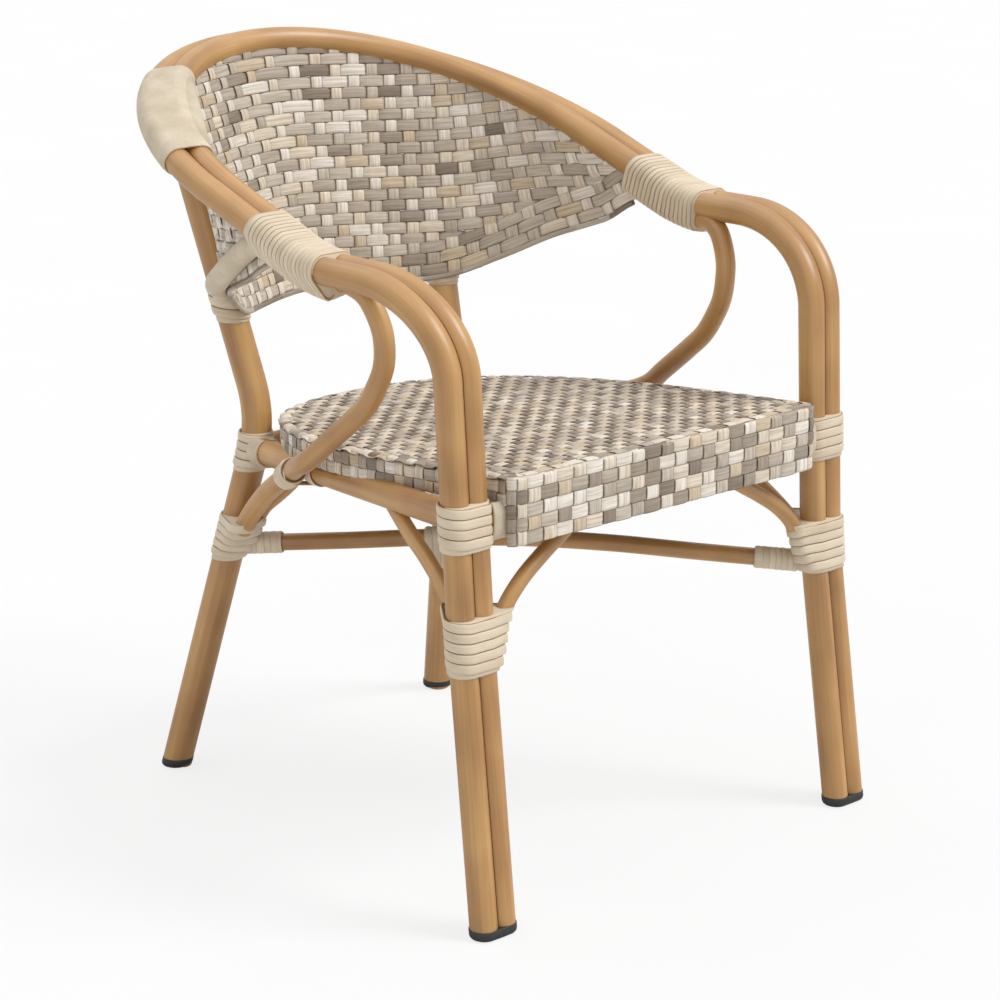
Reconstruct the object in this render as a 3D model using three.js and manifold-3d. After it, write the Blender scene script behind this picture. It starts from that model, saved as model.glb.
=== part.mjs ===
// Bistro armchair: a bent twin-tube hoop, two rear posts, curved braces, woven seat and back, cane lashings.
// Millimetres. +Z up, -Y to the front, +X to the sitter's left, the floor at zero.
import * as THREE from 'three';
import { mergeVertices } from 'three/addons/utils/BufferGeometryUtils.js';
import Module from 'manifold-3d';

const wasm = await Module();
wasm.setup();

// Clearances and cutting
const gap = 0.3;
const weld = 1e-4;
const reach = 1200;

// Tube sizes
const lobeRadius = 14;
const lobeOffset = 12;
const postRadius = 16.5;
const railRadius = 14;
const rearRailRadius = 11;
const railTenonRadius = 6;
const stretcherRadius = 9.4;
const stretcherTenonRadius = 4.5;
const braceRadius = 8;
const armBraceRadius = 10.75;
const strutRadius = 12;
const rodRadius = 5;

// The hoop: leg, bend, arm and back of one continuous twin tube
const footHalfSpan = 262;
const footFront = 295.5;
const kneeHeight = 285;
const kneeHalfSpan = 255.5;
const kneeFront = 258;
const kneeLength = 80;
const legTopHeight = 540;
const legTopHalfSpan = 259;
const legTopFront = 243.5;
const bendReach = 115;
const armHeight = 630.5;
const armHalfSpan = 269;
const riseFront = 52;
const riseLength = 70;
const backStart = 90.5;
const backReach = 284;
const crownHeight = 789.5;
const crownTilt = THREE.MathUtils.degToRad(12);

// The rear posts
const postFootHalfSpan = 198.6;
const postFootBack = 296;
const postKneeHeight = 410;
const postKneeHalfSpan = 141.6;
const postKneeBack = 200;
const postTopHalfSpan = 178;

// The seat
const seatHeight = 451.4;
const seatDrop = 38.1;
const seatFront = 282;
const seatBack = 226;
const seatHalfWidth = 221;
const seatSideEnd = 150;
const seatCorner = 20;
const seatThickness = 24;
const seatRound = 5;
const apronDepth = 69;
const apronReturn = 12.7;
const skin = 5;
const rimWidth = 18;
const slatWidth = 40;
const slatThickness = 8;
const slatSpacing = 150;
const slatCount = 3;

// The woven back
const backFront = 20;
const backHalfWidth = 264;
const backWingHeight = 609;
const backLowHeight = 518;
const backLowDepth = 290;
const backThickness = 6;
const backInset = 8;
const strutRise = 13;
const strutStandoff = 12.5;
const strutDrop = 17.5;

// The cane
const strandWidth = 10.5;
const strandThickness = 3.4;
const strandPitch = 11.2;
const fineWidth = 7.6;
const fineThickness = 2.8;
const finePitch = 9.1;
const strandLift = 0.6;
const frontUpperFoot = 383;
const frontLowerFoot = 260;
const rearUpperFoot = 354;
const rearLowerFoot = 248.5;
const postBackFoot = 518.5;
const armWindingFront = 74;
const wrapThickness = 2.4;
const boreLift = 0.4;
const shoulderLift = 1.2;
const strapWidth = 15;
const frontStrapRoom = 2;
const sideStrapRoom = 4;
const shoulderFront = 160;
const shoulderBackShare = 0.06;

// The stretchers cross above and below each other
const stretcherHeight = 266;
const overCrest = 17;
const underCrest = 5.5;
const stretcherDrift = 3.4;
const stretcherWrapLength = 55;
const crossingWrapLength = 34;
const stretcherWrapThickness = 2.6;
const frontWrapRoom = 20;
const rearWrapRoom = 18;

// The foot caps
const capHeight = 14;
const capFloor = 4;
const capWall = 1.8;

const up = new THREE.Vector3(0, 0, 1);
const sideways = new THREE.Vector3(1, 0, 0);
const rearward = new THREE.Vector3(0, 1, 0);
const quarter = Math.PI / 2;
const full = Math.PI * 2;

const vec = (x, y, z) => new THREE.Vector3(x, y, z);

// Places along the frame

// A ramp that starts smoothly: flat before the bend and rising one for one after it
function ramp(place, bend, length) {
  const along = place - bend + length / 2;
  if (along <= 0) return 0;
  if (along >= length) return place - bend;
  return along * along / (2 * length);
}

// A line from start to end through one rounded knee
function kneed(place, [startAt, start], [kneeAt, knee], [endAt, end], length) {
  const before = (knee - start) / (kneeAt - startAt);
  const after = (end - knee) / (endAt - kneeAt);
  return start + before * (place - startAt) + (after - before) * ramp(place, kneeAt, length);
}

function legAt(z) {
  const [knee, top] = [kneeHeight, legTopHeight];
  const span = kneed(z, [0, footHalfSpan], [knee, kneeHalfSpan], [top, legTopHalfSpan], kneeLength);
  const front = kneed(z, [0, footFront], [knee, kneeFront], [top, legTopFront], kneeLength);
  return vec(span, -front, z);
}

function bendAt(turn) {
  const span = legTopHalfSpan + (armHalfSpan - legTopHalfSpan) * Math.sin(turn) ** 2;
  const back = -legTopFront + bendReach * (1 - Math.cos(turn));
  return vec(span, back, legTopHeight + (armHeight - legTopHeight) * Math.sin(turn));
}

const riseSlope = (crownHeight - armHeight) / (backStart + backReach + riseFront);

function riseAt(y) {
  return armHeight + riseSlope * ramp(y, -riseFront, riseLength);
}

function armAt(y) {
  return vec(armHalfSpan, y, riseAt(y));
}

function backAt(turn) {
  const y = backStart + backReach * Math.sin(turn);
  return vec(armHalfSpan * Math.cos(turn), y, riseAt(y));
}

function backOutward(turn) {
  return vec(Math.cos(turn) * backReach, Math.sin(turn) * armHalfSpan, 0).normalize();
}

const postTopTurn = Math.acos(postTopHalfSpan / armHalfSpan);
const postTop = backAt(postTopTurn);

function postAt(z) {
  const knee = postKneeHeight;
  const top = postTop.z;
  const span = kneed(z, [0, postFootHalfSpan], [knee, postKneeHalfSpan], [top, postTop.x], kneeLength);
  const back = kneed(z, [0, postFootBack], [knee, postKneeBack], [top, postTop.y], kneeLength);
  return vec(span, back, z);
}

function seatTopAt(y) {
  return seatHeight - seatDrop * (y + seatFront) / (seatFront + seatBack);
}

function seatUnderAt(y) {
  return seatTopAt(y) - seatThickness;
}

const railFront = -legAt(seatUnderAt(-kneeFront) - railRadius).y;
const railStart = legAt(seatUnderAt(-railFront) - gap - railRadius);
const rearRailBack = postAt(seatUnderAt(postKneeBack) - gap - rearRailRadius).y;
const rearRailEnd = postAt(seatUnderAt(rearRailBack) - gap - rearRailRadius);
const railEndHeight = seatUnderAt(rearRailBack) - gap - railRadius;
const railEnd = postAt(railEndHeight).setZ(railEndHeight);

function railAt(y) {
  return railStart.clone().lerp(railEnd, (y - railStart.y) / (railEnd.y - railStart.y));
}

// Each coordinate of a place between two others, by its own share
function between(from, to, [shareX, shareY, shareZ]) {
  return vec(
    from.x + (to.x - from.x) * shareX,
    from.y + (to.y - from.y) * shareY,
    from.z + (to.z - from.z) * shareZ,
  );
}

// Solids

function signedVolume(vertices, triangles) {
  const [a, b, c] = [vec(), vec(), vec()];
  let total = 0;
  for (let i = 0; i < triangles.length; i += 3) {
    a.fromArray(vertices, triangles[i] * 3);
    b.fromArray(vertices, triangles[i + 1] * 3);
    c.fromArray(vertices, triangles[i + 2] * 3);
    total += a.dot(b.cross(c));
  }
  return total;
}

// A closed mesh as a solid, turned so that its faces point out
function solidOf(geometry) {
  const bare = new THREE.BufferGeometry();
  bare.setAttribute('position', geometry.getAttribute('position'));
  if (geometry.index) bare.setIndex(geometry.index);
  const welded = mergeVertices(bare, weld);
  const vertProperties = new Float32Array(welded.getAttribute('position').array);
  const triVerts = new Uint32Array(welded.index.array);
  if (signedVolume(vertProperties, triVerts) < 0) triVerts.reverse();
  return new wasm.Manifold(new wasm.Mesh({ numProp: 3, vertProperties, triVerts }));
}

function geometryOf(solid) {
  const mesh = solid.getMesh();
  const geometry = new THREE.BufferGeometry();
  geometry.setAttribute('position', new THREE.BufferAttribute(new Float32Array(mesh.vertProperties), 3));
  geometry.setIndex(new THREE.BufferAttribute(new Uint32Array(mesh.triVerts), 1));
  return geometry;
}

function mirrored(solid) {
  return solidOf(geometryOf(solid).applyMatrix4(new THREE.Matrix4().makeScale(-1, 1, 1)));
}

function cut(solid, ...cutters) {
  return cutters.reduce((rest, cutter) => rest.subtract(cutter), solid);
}

function circle(radius, sides) {
  const points = [];
  for (let i = 0; i < sides; i += 1) {
    const angle = full * (i + 0.5) / sides;
    points.push(new THREE.Vector2(radius * Math.cos(angle), radius * Math.sin(angle)));
  }
  return new THREE.Shape(points);
}

// The outline of two round lobes that run into each other
function twinOutline(extra, segments) {
  const radius = lobeRadius + extra;
  const neck = Math.acos(Math.min(1, lobeOffset / radius));
  const points = [];
  for (const side of [1, -1]) {
    for (let i = 0; i <= segments; i += 1) {
      const angle = (neck - Math.PI) + (full - 2 * neck) * i / segments;
      const x = side * (lobeOffset + radius * Math.cos(angle));
      points.push(new THREE.Vector2(x, side * radius * Math.sin(angle)));
    }
    points.pop();
  }
  return new THREE.Shape(points);
}

// A route whose stations and section directions are given one by one
class Route extends THREE.Curve {
  constructor(stations) {
    super();
    this.stations = stations;
  }

  getSpacedPoints() {
    return this.stations.map((station) => station.point);
  }

  computeFrenetFrames() {
    return {
      tangents: this.stations.map((station) => station.tangent),
      normals: this.stations.map((station) => station.normal),
      binormals: this.stations.map((station) => station.binormal),
    };
  }
}

function sweep(shape, stations) {
  return new THREE.ExtrudeGeometry(shape, { steps: stations.length - 1, extrudePath: new Route(stations) });
}

function smoothRoute(points) {
  return new THREE.CatmullRomCurve3(points, false, 'centripetal');
}

function tube(curve, radius, sides, steps) {
  return solidOf(new THREE.ExtrudeGeometry(circle(radius, sides), { steps, extrudePath: curve }));
}

function bar(from, to, radius, sides) {
  return tube(new THREE.LineCurve3(from, to), radius, sides, 1);
}

// A closed skin over rings that hold the same number of points each
function loft(rings) {
  const count = rings[0].length;
  const positions = [];
  const index = [];
  for (const ring of rings) ring.forEach((point) => positions.push(point.x, point.y, point.z));
  for (let r = 0; r < rings.length - 1; r += 1) {
    for (let i = 0; i < count; i += 1) {
      const a = r * count + i;
      const b = r * count + (i + 1) % count;
      index.push(a, b, b + count, a, b + count, a + count);
    }
  }
  const last = (rings.length - 1) * count;
  for (let i = 1; i < count - 1; i += 1) {
    index.push(0, i + 1, i, last, last + i, last + i + 1);
  }
  const geometry = new THREE.BufferGeometry();
  geometry.setAttribute('position', new THREE.Float32BufferAttribute(positions, 3));
  geometry.setIndex(index);
  return geometry;
}

// Everything between two heights
function slab(from, to) {
  const box = new THREE.BoxGeometry(2 * reach, 2 * reach, to - from);
  return solidOf(box.translate(0, 0, (from + to) / 2));
}

// The hoop

const lobeSegments = 7;

function hoopHalf() {
  const stations = [];
  const kneeStart = kneeHeight - kneeLength / 2;
  for (const z of [capFloor, kneeStart]) stations.push({ point: legAt(z), outward: sideways, level: true });
  for (const share of [0.33, 0.67, 1]) {
    stations.push({ point: legAt(kneeStart + kneeLength * share), outward: sideways, level: true });
  }
  stations.push({ point: legAt(legTopHeight), outward: sideways });
  const bendSteps = 6;
  for (let i = 1; i <= bendSteps; i += 1) {
    stations.push({ point: bendAt(quarter * i / bendSteps), outward: sideways });
  }
  const riseStart = -riseFront - riseLength / 2;
  const riseSteps = 4;
  for (let i = 0; i <= riseSteps; i += 1) {
    stations.push({ point: armAt(riseStart + riseLength * i / riseSteps), outward: sideways });
  }
  const backSteps = 9;
  for (let i = 0; i <= backSteps; i += 1) {
    const turn = quarter * i / backSteps;
    stations.push({ point: backAt(turn), outward: backOutward(turn), tilt: crownTilt * Math.sin(turn) });
  }
  return stations;
}

// Section directions from a station's neighbours: normal towards the outer lobe, tilted down at the crown
function framed(stations) {
  return stations.map((station, i) => {
    const before = stations[Math.max(0, i - 1)].point;
    const after = stations[Math.min(stations.length - 1, i + 1)].point;
    const tangent = after.clone().sub(before).normalize();
    if (station.level) {
      const binormal = rearward.clone();
      return { point: station.point, tangent, normal: station.outward.clone(), binormal };
    }
    const outward = station.outward.clone();
    outward.addScaledVector(tangent, -outward.dot(tangent)).normalize();
    const normal = outward.applyAxisAngle(tangent, station.tilt ?? 0);
    const binormal = tangent.clone().cross(normal);
    return { point: station.point, tangent, normal, binormal };
  });
}

function opposite(station) {
  return {
    ...station,
    point: station.point.clone().setX(-station.point.x),
    outward: station.outward.clone().setX(-station.outward.x),
  };
}

function hoop(extra) {
  const half = hoopHalf();
  const other = half.slice(0, -1).reverse().map(opposite);
  return solidOf(sweep(twinOutline(extra, lobeSegments), framed([...half, ...other])));
}

const frameHoop = hoop(0);
const hoopCut = hoop(gap);

// Rear posts, trimmed to the underside of the hoop

const postSides = 10;

function postTube(extra) {
  const kneeShares = [-1, -0.5, -0.17, 0.17, 0.5, 1];
  const heights = [capFloor, ...kneeShares.map((share) => postKneeHeight + kneeLength * share)];
  const end = postTop.z - postRadius * riseSlope / 2;
  const points = [...heights, end].map(postAt);
  const stations = framed(points.map((point) => ({ point, outward: sideways })));
  return solidOf(sweep(circle(postRadius + extra, postSides), stations));
}

const rearPost = cut(postTube(0), hoopCut, slab(-reach, capFloor));
const postCut = postTube(gap);
const postCuts = [postCut, mirrored(postCut)];

// Frames for what is wound round a tube: origin, two directions across it and one along it

function uprightFrame(placeAt) {
  return (z) => {
    const along = placeAt(z + strandPitch).sub(placeAt(z - strandPitch)).normalize();
    return { origin: placeAt(z), across: sideways, over: rearward, along };
  };
}

const legFrame = uprightFrame(legAt);
const postFrame = uprightFrame(postAt);

function armFrame(y) {
  const step = finePitch;
  const along = armAt(y + step).sub(armAt(y - step)).normalize();
  return { origin: armAt(y), across: sideways, over: sideways.clone().cross(along), along };
}

function backFrame(turn) {
  const step = 0.01;
  const along = backAt(turn + step).sub(backAt(turn - step)).normalize();
  const across = backOutward(turn).applyAxisAngle(along, crownTilt * Math.sin(turn));
  return { origin: backAt(turn), across, over: across.clone().cross(along), along };
}

const lobes = [[lobeOffset, 0, lobeRadius], [-lobeOffset, 0, lobeRadius]];

// How far a set of discs reaches in one direction across a frame
function reachOf(discs, angle) {
  return Math.max(...discs.map(([a, b, radius]) => a * Math.cos(angle) + b * Math.sin(angle) + radius));
}

// A corner of the loop round the discs, where its sides half a step to each side of the angle meet
function loopPlace(discs, offset, angle, step) {
  const [before, after] = [angle - step / 2, angle + step / 2];
  const [near, far] = [reachOf(discs, before) + offset, reachOf(discs, after) + offset];
  const a = (near * Math.sin(after) - far * Math.sin(before)) / Math.sin(step);
  const b = (far * Math.cos(before) - near * Math.cos(after)) / Math.sin(step);
  return [a, b];
}

function loopPoint(frame, discs, offset, angle, step) {
  const [a, b] = loopPlace(discs, offset, angle, step);
  return frame.origin.clone().addScaledVector(frame.across, a).addScaledVector(frame.over, b);
}

function loopRing(frame, discs, offset, sides, startAngle = 0) {
  const step = full / sides;
  const angles = Array.from({ length: sides }, (_, i) => startAngle + step * i);
  return angles.map((angle) => loopPoint(frame, discs, offset, angle, step));
}

// How far a strand moves along its tube to spread round the tenons that pass between its turns
function spread(spec, height, [a, b]) {
  const side = height < spec.split ? -1 : 1;
  const nearest = THREE.MathUtils.euclideanModulo(side * (height - spec.split), spec.pitch);
  let most = 0;
  for (const { angle, radius, height: middle, wide } of spec.tenons ?? []) {
    const ahead = a * Math.cos(angle) + b * Math.sin(angle);
    const aside = Math.abs(a * Math.sin(angle) - b * Math.cos(angle));
    const near = (wide ? 2 * radius : radius) + spec.thickness;
    const share = 1 - THREE.MathUtils.smoothstep(aside, near, near + radius);
    const room = side * (middle - spec.split) + radius + 3 * gap + spec.width / 2 - nearest;
    if (ahead > 0) most = Math.max(most, room * share);
  }
  return side * most;
}

// The angle to start from so that the strand crosses the height of the tenons on the far side from them
function startFor(spec, crossing) {
  return crossing - full * (spec.split - spec.first) / spec.pitch;
}

// A winding: one strand laid in even turns round the discs, its ends straight for one strand width
function windingStations(spec) {
  const stations = [];
  const step = full / spec.steps;
  const count = spec.turns * spec.steps;
  const offset = strandLift + spec.thickness / 2;
  for (let i = 0; i <= count; i += 1) {
    const angle = spec.startAngle + step * i;
    const even = spec.first + spec.pitch * i / spec.steps;
    const height = even + spread(spec, even, loopPlace(spec.discsAt(even), offset, angle, step));
    const frame = spec.frameAt(height);
    const point = loopPoint(frame, spec.discsAt(height), offset, angle, step);
    const normal = frame.across.clone().multiplyScalar(Math.cos(angle));
    normal.addScaledVector(frame.over, Math.sin(angle));
    stations.push({ point, normal, binormal: frame.along.clone().negate() });
  }
  const straight = (end, next) => {
    const away = end.point.clone().sub(next.point).setLength(spec.width);
    return { ...end, point: end.point.clone().add(away) };
  };
  stations.unshift(straight(stations[0], stations[1]));
  stations.push(straight(stations[count + 1], stations[count]));
  return stations.map((station) => ({ ...station, tangent: station.normal }));
}

// The least gap between neighbouring turns, measured between their facing edges
function leastGap(spec, stations) {
  let least = Infinity;
  for (let i = 1; i + spec.steps < stations.length - 1; i += 1) {
    const [low, high] = [stations[i], stations[i + spec.steps]];
    for (const depth of [-spec.thickness / 2, 0]) {
      const top = low.point.clone().addScaledVector(low.binormal, -spec.width / 2);
      const bottom = high.point.clone().addScaledVector(high.binormal, spec.width / 2);
      top.addScaledVector(low.normal, depth);
      bottom.addScaledVector(high.normal, depth);
      least = Math.min(least, top.distanceTo(bottom));
    }
  }
  return least;
}

function strandOutline(spec) {
  const [half, side] = [spec.thickness / 2, spec.width / 2];
  const crown = spec.fine ? [[half, -side * 0.7], [half, side * 0.7]] : [[0, -side], [half, 0], [0, side]];
  const points = [[-half, -side], ...crown, [-half, side]];
  return new THREE.Shape(points.map(([x, y]) => new THREE.Vector2(x, y)));
}

const windingGaps = [];

function winding(spec) {
  const stations = windingStations(spec);
  windingGaps.push(leastGap(spec, stations));
  return solidOf(sweep(strandOutline(spec), stations));
}

// The room that a winding takes, with a gap round it
function envelope(spec) {
  const spare = spec.width / 2 + gap + (spec.tenons ? railTenonRadius + 3 * gap : 0);
  const [low, high] = [spec.first - spare, spec.first + spec.pitch * spec.turns + spare];
  const rows = 6;
  const offset = strandLift + spec.thickness + 2 * gap;
  const rings = [];
  for (let i = 0; i <= rows; i += 1) {
    const height = low + (high - low) * i / rows;
    rings.push(loopRing(spec.frameAt(height), spec.discsAt(height), offset, spec.steps, spec.startAngle));
  }
  return solidOf(loft(rings));
}

const coarse = { width: strandWidth, thickness: strandThickness, pitch: strandPitch };
const fine = { width: fineWidth, thickness: fineThickness, pitch: finePitch, fine: true };

const bearing = (from, to) => Math.atan2(to.y - from.y, to.x - from.x);

// A tube's disc in the level plane at a height, as seen from a frame's origin
function discAt(curve, radius, z, origin) {
  let [low, high] = [0, 1];
  const falling = curve.getPoint(0).z > curve.getPoint(1).z;
  const halvings = 24;
  for (let i = 0; i < halvings; i += 1) {
    const middle = (low + high) / 2;
    if ((curve.getPoint(middle).z < z) !== falling) low = middle;
    else high = middle;
  }
  const place = curve.getPoint((low + high) / 2);
  const slope = Math.max(0.5, Math.abs(curve.getTangent((low + high) / 2).z));
  return [place.x - origin.x, place.y - origin.y, radius / slope];
}

// Stretchers: two bowed bars that cross, one over the other

const stretcherFront = legAt(stretcherHeight);
const stretcherBack = postAt(stretcherHeight);

function stretcherCurve(crest) {
  const back = stretcherBack.clone().setX(-stretcherBack.x);
  const rise = (share) => stretcherHeight + crest * Math.sin(Math.PI * share) ** 1.5;
  const points = [0, 0.2, 0.35, 0.5, 0.65, 0.8, 1].map((share) => {
    return back.clone().lerp(stretcherFront, share).setZ(rise(share));
  });
  return smoothRoute(points);
}

const stretcherSteps = 7;
const overCurve = stretcherCurve(overCrest);
const underCurve = stretcherCurve(-underCrest);

// Front braces: up along the leg, then across to the underside of the front rail

const frontBraceShares = [[0.08, 0.2], [0.22, 0.385], [0.4, 0.545], [0.58, 0.684], [0.78, 0.845], [1, 1]];
const boundTop = 295;
const boundFoot = 262;
const frontBraceReach = 190;

function frontBraceCurve() {
  const aside = lobeOffset + lobeRadius + braceRadius + gap;
  const bound = (z) => legAt(z).sub(vec(aside, 0, 0));
  const start = bound(boundTop);
  const end = vec(legAt(boundTop).x - frontBraceReach, railStart.y, railStart.z);
  const rest = frontBraceShares.map(([x, z]) => between(start, end, [x, x, z]));
  return smoothRoute([bound(boundFoot), start, ...rest]);
}

// Side braces: from behind the leg up to the underside of the side rail

const sideBraceShares = [
  [0.12, 0.085, 0.144], [0.3, 0.255, 0.346], [0.5, 0.468, 0.548], [0.68, 0.667, 0.7], [1, 1, 1],
];
const sideBraceFoot = 277;
const sideBraceReach = 141;
const sideBraceInset = 5.5;

function sideBraceCurve() {
  const behind = Math.sqrt((lobeRadius + braceRadius + gap) ** 2 - sideBraceInset ** 2);
  const bound = (z) => legAt(z).add(vec(sideBraceInset - lobeOffset, behind, 0));
  const start = bound(boundTop);
  const end = railAt(start.y + sideBraceReach);
  const rest = sideBraceShares.map((shares) => between(start, end, shares));
  return smoothRoute([bound(sideBraceFoot), start, ...rest]);
}

// Rear side braces: from in front of the post up to the underside of the side rail

const rearBraceShares = [[0.05, 0.12, 0.2], [0.2, 0.38, 0.44], [0.5, 0.66, 0.68], [1, 1, 1]];
const rearBraceFoot = 277;
const rearBraceReach = 118;
const rearBraceAngle = THREE.MathUtils.degToRad(-112);

function rearBraceCurve() {
  const away = postRadius + braceRadius + 2 * gap;
  const aside = vec(Math.cos(rearBraceAngle), Math.sin(rearBraceAngle), 0).multiplyScalar(away);
  const bound = (z) => postAt(z).add(aside);
  const start = bound(boundTop);
  const end = railAt(start.y - rearBraceReach);
  const rest = rearBraceShares.map((shares) => between(start, end, shares));
  return smoothRoute([bound(rearBraceFoot), start, ...rest]);
}

// Arm braces: from under the arm, bowed to the front, back past the side rail and down to the post

const armBraceBack = 2;
const armBraceFront = 89.5;
const armBraceInset = 14;
const armBraceDrop = 16;
const armBraceFoot = 258;
const armBraceFootAngle = THREE.MathUtils.degToRad(-66.7);
const armBraceContact = 65;
const armBraceBow = 193;
const upperBowShares = [
  [0.93, 0.914, 0.96], [0.83, 0.989, 0.839], [0.78, 1, 0.746], [0.76, 0.984, 0.654], [0.76, 0.93, 0.562],
  [0.76, 0.856, 0.47], [0.78, 0.733, 0.378], [0.82, 0.529, 0.24], [0.84, 0.39, 0.147], [0.46, 0.187, 0.074],
];
const lowerBowShares = [
  [0.2, 0.16, 0.1], [0.56, 0.455, 0.294], [0.81, 0.7, 0.51], [0.94, 0.83, 0.65], [1, 0.95, 0.82],
];

function armBraceCurve() {
  const under = (y) => {
    const frame = armFrame(y);
    const point = frame.origin.clone().addScaledVector(frame.across, -armBraceInset);
    return point.addScaledVector(frame.over, -armBraceDrop);
  };
  const rail = railAt(armBraceContact);
  const outward = railStart.clone().sub(railEnd).cross(up).normalize();
  if (outward.x < 0) outward.negate();
  const contact = rail.clone().addScaledVector(outward, railRadius + armBraceRadius + 2 * gap);
  const away = postRadius + armBraceRadius + 2 * gap;
  const foot = postAt(armBraceFoot);
  foot.add(vec(away * Math.cos(armBraceFootAngle), away * Math.sin(armBraceFootAngle), 0));
  const armEnd = under(-armBraceFront);
  const bowEnd = armEnd.clone().setY(contact.y - armBraceBow);
  const upper = upperBowShares.map((shares) => between(contact, bowEnd, shares));
  const lower = lowerBowShares.map((shares) => between(contact, foot, shares));
  const top = [armBraceBack, -armBraceBack - riseFront, -armBraceFront].map(under);
  return smoothRoute([...top, ...upper, contact, ...lower, foot]);
}

const frontBraceRoute = frontBraceCurve();
const sideBraceRoute = sideBraceCurve();
const rearBraceRoute = rearBraceCurve();
const armBraceRoute = armBraceCurve();

// The back's lower edge, from one wing round to the other, as shares of its half width, depth and drop
const lowerEdgeShares = [
  [1, 0, 1], [0.98, 0.16, 0.87], [0.945, 0.3, 0.72], [0.885, 0.42, 0.58], [0.74, 0.56, 0.33],
  [0.56, 0.71, 0.085], [0.37, 0.85, 0.012], [0.18, 0.95, 0], [0, 1, 0],
];

function lowerEdgeCurve() {
  const half = lowerEdgeShares.map(([x, y, z]) => vec(
    backHalfWidth * x,
    backFront + (backLowDepth - backFront) * y,
    backLowHeight + (backWingHeight - backLowHeight) * z,
  ));
  const other = half.slice(0, -1).reverse().map((point) => point.clone().setX(-point.x));
  return smoothRoute([...half, ...other]);
}

const lowerEdge = lowerEdgeCurve();

// The share of the lower edge at which it is so far to the side
function edgeShareAt(span) {
  let [low, high] = [0, 0.5];
  const halvings = 24;
  for (let i = 0; i < halvings; i += 1) {
    const middle = (low + high) / 2;
    if (lowerEdge.getPointAt(middle).x > span) low = middle;
    else high = middle;
  }
  return low;
}

// The hoop's frame beside a place on the lower edge
function hoopFrameBeside(point) {
  const share = (point.y - backFront) / (backLowDepth - backFront);
  const y = backFront + (backStart + backReach - backFront) * share;
  const frame = y <= backStart ? armFrame(y) : backFrame(Math.asin(Math.min(1, (y - backStart) / backReach)));
  if (point.x >= 0) return frame;
  const flip = (v) => v.clone().setX(-v.x);
  return { origin: flip(frame.origin), across: flip(frame.across), over: flip(frame.over) };
}

function backSheetEdge(point) {
  const frame = hoopFrameBeside(point);
  const top = frame.origin.clone().addScaledVector(frame.across, -(lobeOffset + backInset));
  const drop = Math.sqrt(lobeRadius ** 2 - (backInset - backThickness / 2) ** 2) + 2 * gap;
  return top.addScaledVector(frame.over, -drop);
}

// The woven back as one sheet, ruled from its lower edge to the hoop's inner lobe, inside the posts
function backSheet(behind, before) {
  const columns = 22;
  const rows = 3;
  const lower = [];
  const upper = [];
  for (let i = 0; i <= columns; i += 1) {
    const point = lowerEdge.getPointAt(i / columns);
    lower.push(point);
    upper.push(backSheetEdge(point));
  }
  const rings = lower.map((low, i) => {
    const high = upper[i];
    const [last, next] = [Math.max(0, i - 1), Math.min(columns, i + 1)];
    const along = lower[next].clone().sub(lower[last]).add(upper[next]).sub(upper[last]);
    const face = along.cross(high.clone().sub(low)).normalize();
    const ring = [];
    const place = (row, side) => low.clone().lerp(high, row / rows).addScaledVector(face, side);
    for (let row = 0; row <= rows; row += 1) ring.push(place(row, behind));
    for (let row = rows; row >= 0; row -= 1) ring.push(place(row, -before));
    return ring;
  });
  return solidOf(loft(rings));
}

// Struts: padded cane rolls along the outside of each wing's lower edge

function strutCurve() {
  const under = (y) => {
    const frame = armFrame(y);
    return frame.origin.clone().addScaledVector(frame.over, -strutDrop);
  };
  const alongEdge = (share) => {
    const point = lowerEdge.getPointAt(share);
    const tangent = lowerEdge.getTangentAt(share);
    const outward = vec(-tangent.y, tangent.x, 0).normalize();
    if (outward.x < 0) outward.negate();
    return point.addScaledVector(outward, strutStandoff).addScaledVector(up, strutRise);
  };
  const edgeShares = [0.13, 0.18, 0.23, 0.275];
  return smoothRoute([under(finePitch), under(3 * finePitch), ...edgeShares.map(alongEdge)]);
}

const strutRoute = strutCurve();

// Windings, each round the tubes that it binds

function boundDiscs(frameAt, always, routes) {
  return (height) => {
    const { origin } = frameAt(height);
    const passing = routes.flatMap(([curve, radius]) => [-1, 1].map((side) => {
      return discAt(curve, radius + 3 * gap, height + side * strandWidth / 2, origin);
    }));
    return [...always, ...passing];
  };
}

const postDisc = [0, 0, postRadius / Math.cos(quarter / 6)];
const railBearing = bearing(railStart, railEnd);
const driftRadius = stretcherTenonRadius + stretcherDrift;
const legSteps = 14;
const postSteps = 12;

function frontUpperSpec() {
  const spec = { ...coarse, frameAt: legFrame, discsAt: () => lobes, turns: 4, steps: legSteps };
  spec.first = frontUpperFoot;
  const sideHeight = railAt(railStart.y + lobeRadius + strandThickness).z;
  spec.tenons = [
    { angle: Math.PI, height: railStart.z, radius: railTenonRadius },
    { angle: railBearing, height: sideHeight, radius: railTenonRadius, wide: true },
  ];
  spec.split = railStart.z;
  return { ...spec, startAngle: startFor(spec, railBearing + Math.PI + quarter / 2) };
}

function frontLowerSpec() {
  const routes = [[frontBraceRoute, braceRadius], [sideBraceRoute, braceRadius]];
  const spec = { ...coarse, frameAt: legFrame, discsAt: boundDiscs(legFrame, lobes, routes) };
  Object.assign(spec, { first: frontLowerFoot, turns: 5, steps: legSteps });
  const angle = bearing(stretcherFront, stretcherBack.clone().setX(-stretcherBack.x));
  spec.tenons = [{ angle, height: stretcherHeight, radius: driftRadius, wide: true }];
  spec.split = stretcherHeight;
  return { ...spec, startAngle: startFor(spec, angle + Math.PI) };
}

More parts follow.
